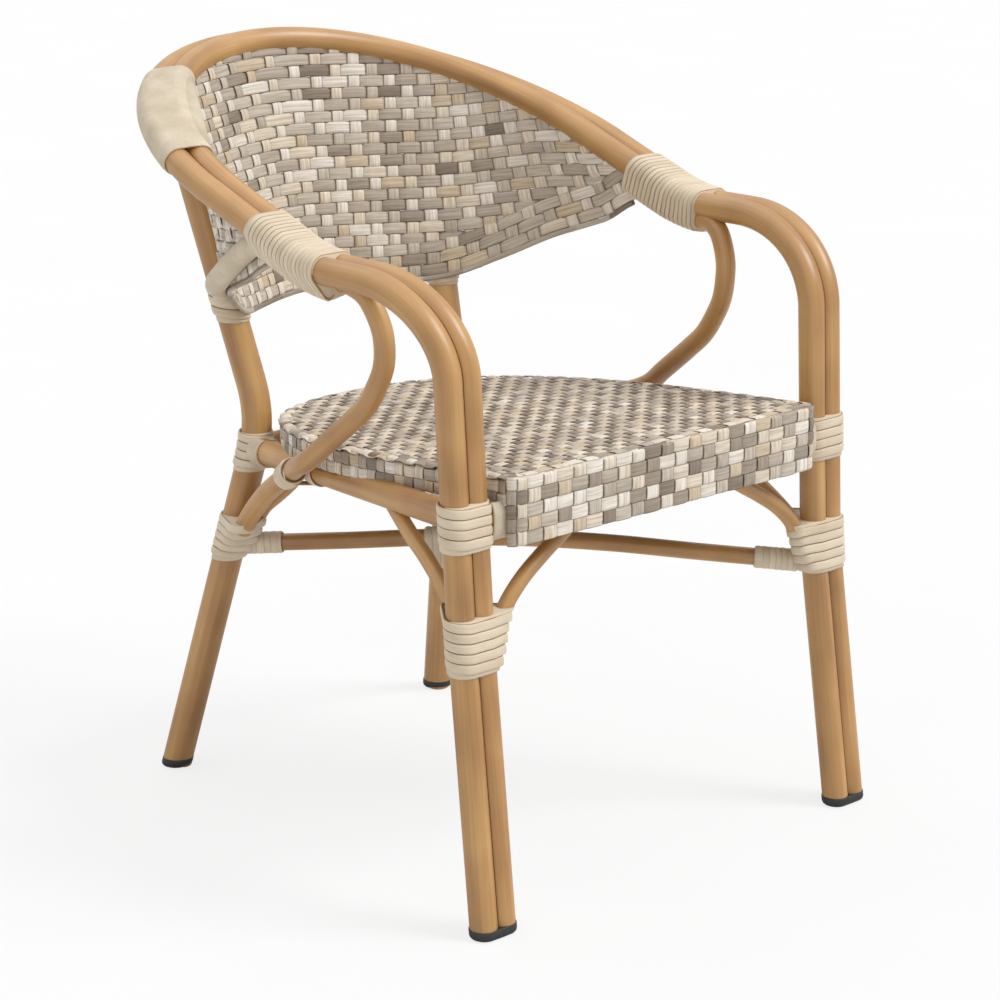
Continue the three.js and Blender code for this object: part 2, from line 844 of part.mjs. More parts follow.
function rearUpperSpec() {
  const spec = { ...coarse, frameAt: postFrame, discsAt: () => [postDisc], turns: 4, steps: postSteps };
  spec.first = rearUpperFoot;
  const sideHeight = railAt(railEnd.y - postRadius - strandThickness).z;
  spec.tenons = [
    { angle: Math.PI, height: rearRailEnd.z, radius: stretcherTenonRadius },
    { angle: railBearing + Math.PI, height: sideHeight, radius: railTenonRadius },
  ];
  spec.split = (rearRailEnd.z + railEnd.z) / 2;
  return { ...spec, startAngle: startFor(spec, quarter / 2) };
}

function rearLowerSpec() {
  const routes = [[armBraceRoute, armBraceRadius], [rearBraceRoute, braceRadius]];
  const spec = { ...coarse, frameAt: postFrame, discsAt: boundDiscs(postFrame, [postDisc], routes) };
  Object.assign(spec, { first: rearLowerFoot, turns: 5, steps: postSteps });
  const angle = bearing(stretcherBack, stretcherFront.clone().setX(-stretcherFront.x));
  spec.tenons = [{ angle, height: stretcherHeight, radius: driftRadius, wide: true }];
  spec.split = stretcherHeight;
  return { ...spec, startAngle: startFor(spec, angle + Math.PI) };
}

function postBackSpec() {
  const spec = { ...coarse, frameAt: postFrame, discsAt: () => [postDisc], turns: 3, steps: postSteps };
  return { ...spec, first: postBackFoot, startAngle: quarter };
}

function armSpec() {
  const brace = [-armBraceInset, -armBraceDrop, armBraceRadius];
  const strut = [0, -strutDrop, strutRadius + 3 * gap];
  const discsAt = () => [...lobes, brace, strut];
  const spec = { ...fine, frameAt: armFrame, discsAt, turns: 11, steps: 10 };
  return { ...spec, first: -armWindingFront, startAngle: quarter };
}

const frontUpper = frontUpperSpec();
const frontLower = frontLowerSpec();
const rearUpper = rearUpperSpec();
const rearLower = rearLowerSpec();
const postBack = postBackSpec();
const armWinding = armSpec();

const bothSides = (solid) => [solid, mirrored(solid)];
const frontUpperRoom = bothSides(envelope(frontUpper));
const frontLowerRoom = bothSides(envelope(frontLower));
const rearUpperRoom = bothSides(envelope(rearUpper));
const rearLowerRoom = bothSides(envelope(rearLower));
const postBackRoom = bothSides(envelope(postBack));
const armRoom = bothSides(envelope(armWinding));

// Rails: full tubes between the windings, with tenons that pass between the turns to the tubes

const railSides = 10;

function tenoned(from, to, radius, tenonRadius, rooms, ends) {
  const body = cut(bar(from, to, radius, railSides), ...rooms);
  const tenon = cut(bar(from, to, tenonRadius, railSides), ...ends);
  return body.add(tenon);
}

const flipped = (point) => point.clone().setX(-point.x);
const otherRailStart = flipped(railStart);
const frontRail = tenoned(otherRailStart, railStart, railRadius, railTenonRadius, frontUpperRoom, [hoopCut]);
const railEnds = [hoopCut, ...postCuts];
const sideRailRooms = [frontUpperRoom[0], rearUpperRoom[0]];
const sideRail = tenoned(railStart, railEnd, railRadius, railTenonRadius, sideRailRooms, railEnds);
const rearRail = tenoned(
  flipped(rearRailEnd), rearRailEnd, rearRailRadius, stretcherTenonRadius, rearUpperRoom, postCuts,
);
const frontRailCut = bar(flipped(railStart), railStart, railRadius + gap, railSides);
const sideRailCut = bar(railStart, railEnd, railRadius + gap, railSides);

function stretcher(curve) {
  const rooms = [frontLowerRoom[0], rearLowerRoom[1]];
  const body = cut(tube(curve, stretcherRadius, railSides, stretcherSteps), ...rooms);
  const tenon = cut(tube(curve, stretcherTenonRadius, railSides, stretcherSteps), hoopCut, ...postCuts);
  return body.add(tenon);
}

const overStretcher = stretcher(overCurve);
const underStretcher = mirrored(stretcher(underCurve));

// Braces

const braceSides = 8;
const frontBrace = cut(tube(frontBraceRoute, braceRadius, braceSides, 9), frontRailCut, hoopCut);
const sideBrace = cut(tube(sideBraceRoute, braceRadius, braceSides, 9), sideRailCut, hoopCut);
const rearBrace = cut(tube(rearBraceRoute, braceRadius, braceSides, 8), sideRailCut, postCut);
const armBrace = cut(tube(armBraceRoute, armBraceRadius, braceSides, 30), hoopCut, sideRailCut, postCut);

// The seat: a woven tray over a rim and slats

function seatOutline(inset) {
  const half = seatHalfWidth - inset;
  const front = inset - seatFront;
  const back = seatBack - inset;
  const shape = new THREE.Shape();
  shape.moveTo(half - seatCorner, front);
  shape.quadraticCurveTo(half, front, half, front + seatCorner);
  shape.lineTo(half, -seatSideEnd);
  shape.bezierCurveTo(half * 1.02, back * 0.38, half * 0.71, back, 0, back);
  shape.bezierCurveTo(-half * 0.71, back, -half * 1.02, back * 0.38, -half, -seatSideEnd);
  shape.lineTo(-half, front + seatCorner);
  shape.quadraticCurveTo(-half, front, seatCorner - half, front);
  shape.closePath();
  return shape;
}

// Flat work moved to a depth under the seat's sloping top
function underSeatTop(geometry, depth) {
  const slope = seatDrop / (seatFront + seatBack);
  const shear = new THREE.Matrix4().set(
    1, 0, 0, 0,
    0, 1, 0, 0,
    0, -slope, 1, seatTopAt(0) - depth,
    0, 0, 0, 1,
  );
  return geometry.applyMatrix4(shear);
}

function seatBlock(inset, fromDepth, toDepth) {
  const settings = { depth: toDepth - fromDepth, bevelEnabled: false, curveSegments: 6 };
  return solidOf(underSeatTop(new THREE.ExtrudeGeometry(seatOutline(inset), settings), toDepth));
}

function roundedSeatBlock() {
  const settings = {
    depth: seatThickness, curveSegments: 6,
    bevelSize: seatRound, bevelThickness: seatRound, bevelOffset: -seatRound, bevelSegments: 2,
  };
  const block = new THREE.ExtrudeGeometry(seatOutline(0), settings);
  return solidOf(underSeatTop(block, seatThickness + seatRound));
}

function apron() {
  const ring = seatBlock(0, seatThickness / 2, apronDepth).subtract(seatBlock(skin, 0, apronDepth + gap));
  const front = new THREE.BoxGeometry(2 * reach, apronReturn, 2 * reach);
  return ring.intersect(solidOf(front.translate(0, apronReturn / 2 - seatFront, 0)));
}

function seatWeave() {
  const top = roundedSeatBlock().intersect(seatBlock(0, 0, seatThickness));
  const hollow = seatBlock(skin, skin, seatThickness + gap);
  return top.subtract(hollow).add(apron());
}

function seatRim() {
  const outer = seatBlock(skin + gap, skin + gap, seatThickness);
  return outer.subtract(seatBlock(skin + gap + rimWidth, 0, seatThickness + gap));
}

function seatSlat(y) {
  const box = new THREE.BoxGeometry(2 * reach, slatWidth, slatThickness);
  underSeatTop(box, skin + gap + slatThickness / 2);
  const inside = seatBlock(skin + 2 * gap + rimWidth, 0, seatThickness);
  return solidOf(box.translate(0, y, -seatDrop * y / (seatFront + seatBack))).intersect(inside);
}

const seatRoom = seatBlock(-gap, -gap, seatThickness + gap);

// Plain wraps: sleeves over the tubes that they bind

function filledSleeve(frameAt, discsAt, offset, places, sides) {
  return solidOf(loft(places.map((place) => loopRing(frameAt(place), discsAt(place), offset, sides))));
}

function stretched(places, spare) {
  return places.map((place, i) => place + (i === 0 ? -spare : 0) + (i === places.length - 1 ? spare : 0));
}

// A bore that hugs the discs, faceted like the sleeve but never inside them
function bored(frameAt, discsAt, lift, thickness, places, sides, spare) {
  const outer = filledSleeve(frameAt, discsAt, lift + thickness, places, sides);
  return outer.subtract(filledSleeve(frameAt, discsAt, lift, stretched(places, spare), sides));
}

function sleeve(frameAt, discsAt, thickness, places, cutters) {
  const sides = 14;
  const rings = places.map((place) => loopRing(frameAt(place), discsAt(place), thickness + gap, sides));
  return cut(solidOf(loft(rings)), ...cutters);
}

// A frame across a bar at a distance along its route
function routeFrame(curve) {
  const length = curve.getLength();
  return (place) => {
    const along = curve.getTangentAt(place / length);
    const across = along.clone().cross(up).normalize();
    return { origin: curve.getPointAt(place / length), across, over: across.clone().cross(along), along };
  };
}

function ringSleeve(curve, radius, thickness, from, length, cutters) {
  const sides = 10;
  const steps = 2;
  const places = Array.from({ length: steps + 1 }, (_, i) => from + length * i / steps);
  const round = () => [[0, 0, radius]];
  return cut(bored(routeFrame(curve), round, boreLift, thickness, places, sides, gap), ...cutters);
}

const frontRailLine = new THREE.LineCurve3(railStart, flipped(railStart));
const sideRailLine = new THREE.LineCurve3(railStart, railEnd);
const strapStart = lobeOffset + lobeRadius + strandLift + strandThickness + 3 * gap;
const frontStrap = ringSleeve(
  frontRailLine, railRadius, wrapThickness, strapStart + frontStrapRoom, strapWidth, [seatRoom],
);
const rearStrapStart = sideRailLine.getLength() - postRadius - strandThickness - sideStrapRoom - strapWidth;
const rearStrap = ringSleeve(
  sideRailLine, railRadius, wrapThickness, rearStrapStart, strapWidth, [seatRoom, rearUpperRoom[0]],
);

// The binding that holds an arm brace to its side rail
function railBraceWrap() {
  const frameAt = routeFrame(sideRailLine);
  const place = sideRailLine.getLength() * (armBraceContact - railStart.y) / (railEnd.y - railStart.y);
  const braceCut = tube(armBraceRoute, armBraceRadius + gap, braceSides, 30);
  const frame = frameAt(place);
  const side = frame.across.x > 0 ? 1 : -1;
  const apart = side * (railRadius + armBraceRadius + 2 * gap);
  const discsAt = () => [[0, 0, railRadius], [apart, 0, armBraceRadius]];
  const ends = [place - strandWidth, place + strandWidth];
  return sleeve(frameAt, discsAt, strandThickness, ends, [sideRailCut, braceCut, seatRoom]);
}

const shoulderStart = Math.asin((shoulderFront - backStart) / backReach);
const shoulderEnd = postTopTurn + shoulderBackShare;

function shoulderPlaces() {
  const steps = 5;
  const length = shoulderEnd - shoulderStart;
  return Array.from({ length: steps + 1 }, (_, i) => shoulderStart + length * i / steps);
}

const shoulderSides = 14;
const overrunShare = 0.01;
const twin = () => lobes;
const shoulderSleeve = bored(
  backFrame, twin, shoulderLift, wrapThickness, shoulderPlaces(), shoulderSides, overrunShare,
);
const shoulderWrap = mirrored(cut(shoulderSleeve, postCut));
const shoulderOffset = shoulderLift + wrapThickness + gap;
const shoulderRoom = mirrored(
  filledSleeve(backFrame, twin, shoulderOffset, stretched(shoulderPlaces(), overrunShare), shoulderSides),
);

const strutTube = tube(strutRoute, strutRadius, 10, 9);
const strutSheet = backSheet(backThickness / 2 + gap, 2 * strutRadius);
const strut = cut(strutTube, hoopCut, postCut, postBackRoom[0], strutSheet);

const plainSheet = backSheet(backThickness / 2, backThickness / 2);
const backWeave = cut(plainSheet, ...postCuts, ...armRoom, ...postBackRoom, shoulderRoom);

function backRod() {
  const steps = 12;
  const points = [];
  const endShare = edgeShareAt(postAt(postBackFoot).x - rodRadius);
  for (let i = 0; i <= steps; i += 1) {
    const share = endShare + (1 - 2 * endShare) * i / steps;
    const point = lowerEdge.getPointAt(share);
    const tangent = lowerEdge.getTangentAt(share);
    const behind = backSheetEdge(point).sub(point).cross(tangent).normalize().negate();
    const rise = backSheetEdge(point).sub(point).setLength(rodRadius);
    points.push(point.add(rise).addScaledVector(behind, backThickness / 2 + rodRadius + 2 * gap));
  }
  return cut(tube(smoothRoute(points), rodRadius, 6, 14), ...postBackRoom, ...postCuts);
}

// Stretcher wraps

function stretcherWrap(curve, atFront) {
  const length = curve.getLength();
  const frontStart = length - lobeOffset - lobeRadius - frontWrapRoom - stretcherWrapLength;
  const start = atFront ? frontStart : postRadius + rearWrapRoom;
  const cutters = atFront ? frontLowerRoom : rearLowerRoom;
  return ringSleeve(curve, stretcherRadius, stretcherWrapThickness, start, stretcherWrapLength, cutters);
}

function crossingWrap() {
  const crossing = overCurve.getLength() * stretcherBack.x / (stretcherBack.x + stretcherFront.x);
  const frameAt = routeFrame(overCurve);
  const drop = overCrest + underCrest;
  const discsAt = () => [[0, 0, stretcherRadius], [0, -drop, stretcherRadius]];
  const places = [-1, 0, 1].map((side) => crossing + side * crossingWrapLength);
  const cutters = [overCurve, underCurve].map((curve) => {
    return tube(curve, stretcherRadius + gap, railSides, stretcherSteps);
  });
  cutters[1] = mirrored(cutters[1]);
  return sleeve(frameAt, discsAt, stretcherWrapThickness, places, cutters);
}

// Foot caps: cups under the tube ends, flat on the floor

function frontCap() {
  const outline = (extra) => twinOutline(extra, lobeSegments);
  const stations = (from, to) => framed([from, to].map((z) => {
    return { point: legAt(z), outward: sideways, level: true };
  }));
  const outer = solidOf(sweep(outline(capWall + gap), stations(0, capHeight)));
  return outer.subtract(solidOf(sweep(outline(gap), stations(capFloor - gap, capHeight + gap))));
}

function rearCap() {
  const outer = bar(postAt(-capHeight), postAt(2 * capHeight), postRadius + capWall + gap, postSides);
  const bore = bar(postAt(-capHeight), postAt(3 * capHeight), postRadius + gap, postSides);
  const cup = outer.intersect(slab(0, capHeight));
  return cup.subtract(bore.intersect(slab(capFloor - gap, reach)));
}

// Assembly

const finishes = {
  frame: { color: 0xbe9464, roughness: 0.5, metalness: 0 },
  cane: { color: 0xe2d0b2, roughness: 0.6, metalness: 0 },
  weave: { color: 0xb2a89b, roughness: 0.7, metalness: 0 },
  rim: { color: 0x8f8d88, roughness: 0.5, metalness: 0.6 },
  cap: { color: 0x282828, roughness: 0.8, metalness: 0 },
};

const chair = new THREE.Group();

function add(name, solid, finish) {
  const mesh = new THREE.Mesh(geometryOf(solid), new THREE.MeshStandardMaterial(finishes[finish]));
  mesh.name = name;
  chair.add(mesh);
}

function addPair(name, solid, finish) {
  add(`${name}_left`, solid, finish);
  add(`${name}_right`, mirrored(solid), finish);
}

add('frame_hoop', frameHoop, 'frame');
addPair('rear_post', rearPost, 'frame');
add('front_rail', frontRail, 'frame');
addPair('side_rail', sideRail, 'frame');
add('rear_rail', rearRail, 'frame');
addPair('front_brace', frontBrace, 'frame');
addPair('front_side_brace', sideBrace, 'frame');
addPair('rear_side_brace', rearBrace, 'frame');
addPair('arm_brace', armBrace, 'frame');
add('over_stretcher', overStretcher, 'frame');
add('under_stretcher', underStretcher, 'frame');
addPair('back_strut', strut, 'cane');
add('seat_weave', seatWeave(), 'weave');
add('seat_rim', seatRim(), 'rim');
for (let i = 0; i < slatCount; i += 1) {
  add(`seat_slat_${i + 1}`, seatSlat((i - 1) * slatSpacing - (seatFront - seatBack) / 2), 'rim');
}
add('back_weave', backWeave, 'weave');
add('back_rod', backRod(), 'rim');
addPair('front_upper_binding', winding(frontUpper), 'cane');
addPair('front_lower_binding', winding(frontLower), 'cane');
addPair('rear_upper_binding', winding(rearUpper), 'cane');
addPair('rear_lower_binding', winding(rearLower), 'cane');
addPair('post_back_binding', winding(postBack), 'cane');
addPair('arm_binding', winding(armWinding), 'cane');
add('shoulder_wrap_right', shoulderWrap, 'cane');
addPair('front_rail_strap', frontStrap, 'cane');
addPair('side_rail_strap', rearStrap, 'cane');
addPair('rail_brace_binding', railBraceWrap(), 'cane');
add('over_stretcher_front_wrap', stretcherWrap(overCurve, true), 'cane');
add('over_stretcher_rear_wrap', stretcherWrap(overCurve, false), 'cane');
add('under_stretcher_front_wrap', mirrored(stretcherWrap(underCurve, true)), 'cane');
add('under_stretcher_rear_wrap', mirrored(stretcherWrap(underCurve, false)), 'cane');
add('crossing_wrap', crossingWrap(), 'cane');
addPair('front_foot_cap', frontCap(), 'cap');
addPair('rear_foot_cap', rearCap(), 'cap');

const middle = new THREE.Box3().setFromObject(chair).getCenter(vec());
chair.position.set(-middle.x, -middle.y, 0);
chair.updateMatrixWorld(true);

console.log(`least gap between winding turns: ${Math.min(...windingGaps).toFixed(2)} mm`);

export default chair;
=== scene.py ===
import math

import bpy
import numpy as np
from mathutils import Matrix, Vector


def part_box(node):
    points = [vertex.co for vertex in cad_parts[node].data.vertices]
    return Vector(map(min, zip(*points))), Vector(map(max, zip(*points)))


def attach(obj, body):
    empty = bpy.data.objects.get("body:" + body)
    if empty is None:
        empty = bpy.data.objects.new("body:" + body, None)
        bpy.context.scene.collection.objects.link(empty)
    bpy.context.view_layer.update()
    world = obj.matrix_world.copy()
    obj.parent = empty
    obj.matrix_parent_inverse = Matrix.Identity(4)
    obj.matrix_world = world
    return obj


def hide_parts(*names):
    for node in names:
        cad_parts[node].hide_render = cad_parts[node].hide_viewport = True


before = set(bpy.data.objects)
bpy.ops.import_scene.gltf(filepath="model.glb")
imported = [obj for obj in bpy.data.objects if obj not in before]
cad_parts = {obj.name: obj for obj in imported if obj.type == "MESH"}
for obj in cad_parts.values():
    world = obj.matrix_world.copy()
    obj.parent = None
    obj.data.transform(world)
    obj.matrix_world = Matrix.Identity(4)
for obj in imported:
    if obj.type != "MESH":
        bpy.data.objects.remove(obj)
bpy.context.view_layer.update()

# Lengths are in millimetres up to the point where a mesh is written, as in the part's own source.
MM = 0.001
GAP = 0.3
LOBE_RADIUS, LOBE_OFFSET = 14, 12
POST_RADIUS, RAIL_RADIUS, REAR_RAIL_RADIUS = 16.5, 14, 11
STRETCHER_RADIUS, BRACE_RADIUS, ARM_BRACE_RADIUS = 9.4, 8, 10.75
STRUT_RADIUS, ROD_RADIUS = 12, 5
CAP_FLOOR, CAP_HEIGHT, CAP_WALL = 4, 10.5, 0.9

FOOT_HALF_SPAN, FOOT_FRONT = 262, 295.5
KNEE_HEIGHT, KNEE_HALF_SPAN, KNEE_FRONT, KNEE_LENGTH = 285, 255.5, 258, 80
LEG_TOP_HEIGHT, LEG_TOP_HALF_SPAN, LEG_TOP_FRONT = 540, 259, 243.5
BEND_REACH, ARM_HEIGHT, ARM_HALF_SPAN = 115, 630.5, 269
RISE_FRONT, RISE_LENGTH, BACK_START, BACK_REACH = 52, 70, 90.5, 284
CROWN_HEIGHT, CROWN_TILT = 789.5, math.radians(12)
RISE_SLOPE = (CROWN_HEIGHT - ARM_HEIGHT) / (BACK_START + BACK_REACH + RISE_FRONT)

POST_FOOT_HALF_SPAN, POST_FOOT_BACK = 198.6, 296
POST_KNEE_HEIGHT, POST_KNEE_HALF_SPAN, POST_KNEE_BACK, POST_TOP_HALF_SPAN = 410, 141.6, 200, 178

SEAT_HEIGHT, SEAT_DROP, SEAT_FRONT, SEAT_BACK = 451.4, 38.1, 282, 226
SEAT_HALF_WIDTH, SEAT_SIDE_END, SEAT_CORNER, SEAT_THICKNESS, SEAT_ROUND = 221, 150, 20, 24, 5
APRON_DEPTH, APRON_RETURN = 69, 12.7

BACK_FRONT, BACK_HALF_WIDTH, BACK_WING_HEIGHT, BACK_LOW_HEIGHT, BACK_LOW_DEPTH = 20, 264, 609, 518, 290
BACK_INSET, BACK_THICKNESS, STRUT_RISE, STRUT_STANDOFF = 8, 6, 13, 12.5

STRAND_WIDTH, STRAND_THICKNESS, STRAND_PITCH = 10.5, 3.4, 11.2
FINE_THICKNESS, FINE_PITCH, FINE_TURNS, FINE_LENGTH = 2.8, 9.1, 17, 100.1
STRETCHER_HEIGHT, OVER_CREST, UNDER_CREST = 266, 17, 5.5
FRONT_WRAP_LENGTH, REAR_WRAP_LENGTH, CROSSING_WRAP_LENGTH, STRETCHER_WRAP_THICKNESS = 47, 42, 34, 2.6
STRAP_WIDTH, FRONT_STRAP_ROOM, SIDE_STRAP_ROOM, WRAP_THICKNESS = 15, 2, 4, 2.4
SHOULDER_FRONT, SHOULDER_BACK_TURN = 160, 0.06
STRUT_DROP = 17.5

QUARTER, FULL = math.pi / 2, math.pi * 2
UP, SIDEWAYS, REARWARD = np.array([0, 0, 1.0]), np.array([1.0, 0, 0]), np.array([0, 1.0, 0])
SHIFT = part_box("seat_weave")[0].y / MM + SEAT_FRONT
chance = np.random.default_rng(7)


def vec(x, y, z):
    return np.stack(np.broadcast_arrays(*[np.asarray(v, float) for v in (x, y, z)]), -1)


def unit(v):
    return v / np.linalg.norm(v, axis=-1, keepdims=True)


def picked(place, places, values):
    return vec(*[np.interp(place, places, values[:, axis]) for axis in range(3)])


def flipped(point):
    return point * [-1, 1, 1]


def turned(v, axis, angle):
    angle = np.asarray(angle)[..., None]
    dot = np.sum(v * axis, -1, keepdims=True)
    return v * np.cos(angle) + np.cross(axis, v) * np.sin(angle) + axis * dot * (1 - np.cos(angle))


def smoothstep(x, low, high):
    t = np.clip((x - low) / (high - low), 0, 1)
    return t * t * (3 - 2 * t)


# Places along the frame


def ramp(place, bend, length):
    along = place - bend + length / 2
    return np.where(along <= 0, 0, np.where(along >= length, place - bend, along**2 / (2 * length)))


def kneed(place, start, knee, end, length):
    before = (knee[1] - start[1]) / (knee[0] - start[0])
    after = (end[1] - knee[1]) / (end[0] - knee[0])
    return start[1] + before * (place - start[0]) + (after - before) * ramp(place, knee[0], length)


def leg_at(z):
    spans = (0, FOOT_HALF_SPAN), (KNEE_HEIGHT, KNEE_HALF_SPAN), (LEG_TOP_HEIGHT, LEG_TOP_HALF_SPAN)
    fronts = (0, FOOT_FRONT), (KNEE_HEIGHT, KNEE_FRONT), (LEG_TOP_HEIGHT, LEG_TOP_FRONT)
    return vec(kneed(z, *spans, KNEE_LENGTH), -kneed(z, *fronts, KNEE_LENGTH), z)


def bend_at(turn):
    span = LEG_TOP_HALF_SPAN + (ARM_HALF_SPAN - LEG_TOP_HALF_SPAN) * np.sin(turn) ** 2
    back = -LEG_TOP_FRONT + BEND_REACH * (1 - np.cos(turn))
    return vec(span, back, LEG_TOP_HEIGHT + (ARM_HEIGHT - LEG_TOP_HEIGHT) * np.sin(turn))


def rise_at(y):
    return ARM_HEIGHT + RISE_SLOPE * ramp(y, -RISE_FRONT, RISE_LENGTH)


def arm_at(y):
    return vec(ARM_HALF_SPAN, y, rise_at(y))


def back_at(turn):
    y = BACK_START + BACK_REACH * np.sin(turn)
    return vec(ARM_HALF_SPAN * np.cos(turn), y, rise_at(y))


def back_outward(turn):
    return unit(vec(np.cos(turn) * BACK_REACH, np.sin(turn) * ARM_HALF_SPAN, 0))


POST_TOP_TURN = math.acos(POST_TOP_HALF_SPAN / ARM_HALF_SPAN)
POST_TOP = back_at(POST_TOP_TURN)


def post_at(z):
    top = POST_TOP[2]
    spans = (0, POST_FOOT_HALF_SPAN), (POST_KNEE_HEIGHT, POST_KNEE_HALF_SPAN), (top, POST_TOP[0])
    backs = (0, POST_FOOT_BACK), (POST_KNEE_HEIGHT, POST_KNEE_BACK), (top, POST_TOP[1])
    return vec(kneed(z, *spans, KNEE_LENGTH), kneed(z, *backs, KNEE_LENGTH), z)


def seat_top_at(y):
    return SEAT_HEIGHT - SEAT_DROP * (y + SEAT_FRONT) / (SEAT_FRONT + SEAT_BACK)


def seat_under_at(y):
    return seat_top_at(y) - SEAT_THICKNESS


RAIL_FRONT = -leg_at(seat_under_at(-KNEE_FRONT) - RAIL_RADIUS)[1]
RAIL_START = leg_at(seat_under_at(-RAIL_FRONT) - GAP - RAIL_RADIUS)
REAR_RAIL_BACK = post_at(seat_under_at(POST_KNEE_BACK) - GAP - REAR_RAIL_RADIUS)[1]
REAR_RAIL_END = post_at(seat_under_at(REAR_RAIL_BACK) - GAP - REAR_RAIL_RADIUS)
RAIL_END = post_at(seat_under_at(REAR_RAIL_BACK) - GAP - RAIL_RADIUS)


def rail_at(y):
    share = (np.asarray(y, float)[..., None] - RAIL_START[1]) / (RAIL_END[1] - RAIL_START[1])
    return RAIL_START + (RAIL_END - RAIL_START) * share


def between(start, end, shares):
    return start + (end - start) * np.array(shares)


# Smooth routes

TINY, LEAST_SLOPE = 1e-6, 0.5


def smooth(points, steps=24):
    points = np.asarray(points, float)
    padded = np.vstack([2 * points[0] - points[1], points, 2 * points[-1] - points[-2]])
    share = np.linspace(0, 1, steps, endpoint=False)[:, None]
    spans = []
    for p0, p1, p2, p3 in zip(padded, padded[1:], padded[2:], padded[3:]):
        d0, d1, d2 = (max(TINY, np.linalg.norm(b - a) ** 0.5) for a, b in ((p0, p1), (p1, p2), (p2, p3)))
        t1 = ((p1 - p0) / d0 - (p2 - p0) / (d0 + d1) + (p2 - p1) / d1) * d1
        t2 = ((p2 - p1) / d1 - (p3 - p1) / (d1 + d2) + (p3 - p2) / d2) * d1
        cubic = 2 * (p1 - p2) + t1 + t2
        spans.append(p1 + t1 * share + (3 * (p2 - p1) - 2 * t1 - t2) * share**2 + cubic * share**3)
    return np.vstack([*spans, points[-1:]])


class Route:
    def __init__(self, points):
        self.points = np.asarray(points, float)
        steps = np.linalg.norm(np.diff(self.points, axis=0), axis=1)
        self.places = np.concatenate([[0], np.cumsum(steps)])
        self.length = self.places[-1]

    def at(self, place):
        return picked(place, self.places, self.points)

    def along(self, place, step=1.0):
        place = np.clip(place, step, self.length - step)
        return unit(self.at(place + step) - self.at(place - step))

    def even(self, pitch, start=0, end=None):
        end = self.length if end is None else end
        return np.linspace(start, end, max(2, round((end - start) / pitch) + 1))

    # Across a height: how far its axis is from an origin, and how wide the tube is there
    def disc_at(self, z, radius, origin):
        step = 1 if self.points[0, 2] < self.points[-1, 2] else -1
        heights = np.maximum.accumulate(self.points[::step, 2])
        place = np.interp(z, heights + TINY * np.arange(len(heights)), self.places[::step])
        slope = np.maximum(LEAST_SLOPE, np.abs(self.along(place)[..., 2]))
        away = self.at(place) - origin
        return vec(away[..., 0], away[..., 1], radius / slope)


# Meshes

TWIN_SHIFT = 31.7


class Piece:
    def __init__(self, name):
        self.name = name
        self.points, self.lays, self.faces, self.count = [], [], [], 0

    # A skin over rings of the same number of points; closed runs round from the last ring to the first
    def loft(self, rings, lay, closed=False):
        rows, sides = rings.shape[:2]
        row = np.arange(rows if closed else rows - 1)[:, None]
        side = np.arange(sides)[None, :]
        low, high = row * sides, (row + 1) % rows * sides
        after = (side + 1) % sides
        quads = np.stack([low + side, low + after, high + after, high + side], -1).reshape(-1, 4)
        flat = rings.reshape(-1, 3)
        a, b, c, d = (flat[quads[:, i]] - flat.mean(0) for i in range(4))
        volume = np.sum(np.cross(a, b) * c) + np.sum(np.cross(a, c) * d)
        flip = volume < 0
        quads = quads[:, ::-1] if flip else quads
        self.faces += (quads + self.count).tolist()
        if not closed:
            first = (np.arange(sides) + self.count).tolist()
            last = (np.arange(sides) + (rows - 1) * sides + self.count).tolist()
            self.faces += [first if flip else first[::-1], last[::-1] if flip else last]
        self.points.append(flat)
        self.lays.append(np.broadcast_to(lay, rings.shape).reshape(-1, 3))
        self.count += len(flat)

    def mirrored(self, name):
        other = Piece(name)
        other.points = [points * [-1, 1, 1] for points in self.points]
        other.lays = [lay + [0, TWIN_SHIFT, 0] for lay in self.lays]
        other.faces = [face[::-1] for face in self.faces]
        other.count = self.count
        return other

    def show(self, material, slot, *nodes):
        mesh = bpy.data.meshes.new(self.name)
        points = (np.vstack(self.points) + [0, SHIFT, 0]) * MM
        mesh.from_pydata(points.tolist(), [], self.faces)
        lay = mesh.attributes.new("lay", "FLOAT_VECTOR", "POINT")
        lay.data.foreach_set("vector", np.vstack(self.lays).astype(np.float32).ravel())
        mesh.shade_smooth()
        mesh.materials.append(material)
        piece = bpy.data.objects.new(self.name, mesh)
        bpy.context.scene.collection.objects.link(piece)
        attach(piece, "root")
        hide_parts(*nodes)
        return piece


def show_pair(piece, material, slot, *nodes):
    left, right = f"{piece.name}_left", f"{piece.name}_right"
    other = piece.mirrored(right)
    piece.name = left
    piece.show(material, slot, *[f"{node}_left" for node in nodes])
    other.show(material, slot, *[f"{node}_right" for node in nodes])


def carried(points):
    tangents = unit(np.gradient(points, axis=0))
    across = unit(np.cross(tangents[0], UP if abs(tangents[0][2]) < 0.9 else REARWARD))
    rows = []
    for tangent in tangents:
        across = unit(across - tangent * np.dot(across, tangent))
        rows.append(across)
    across = np.array(rows)
    return across, np.cross(tangents, across)


TUBE_SIDES, END_STEPS, END_ROOM_SHARE, LENGTH_SEED = 32, 6, 1.2, 7


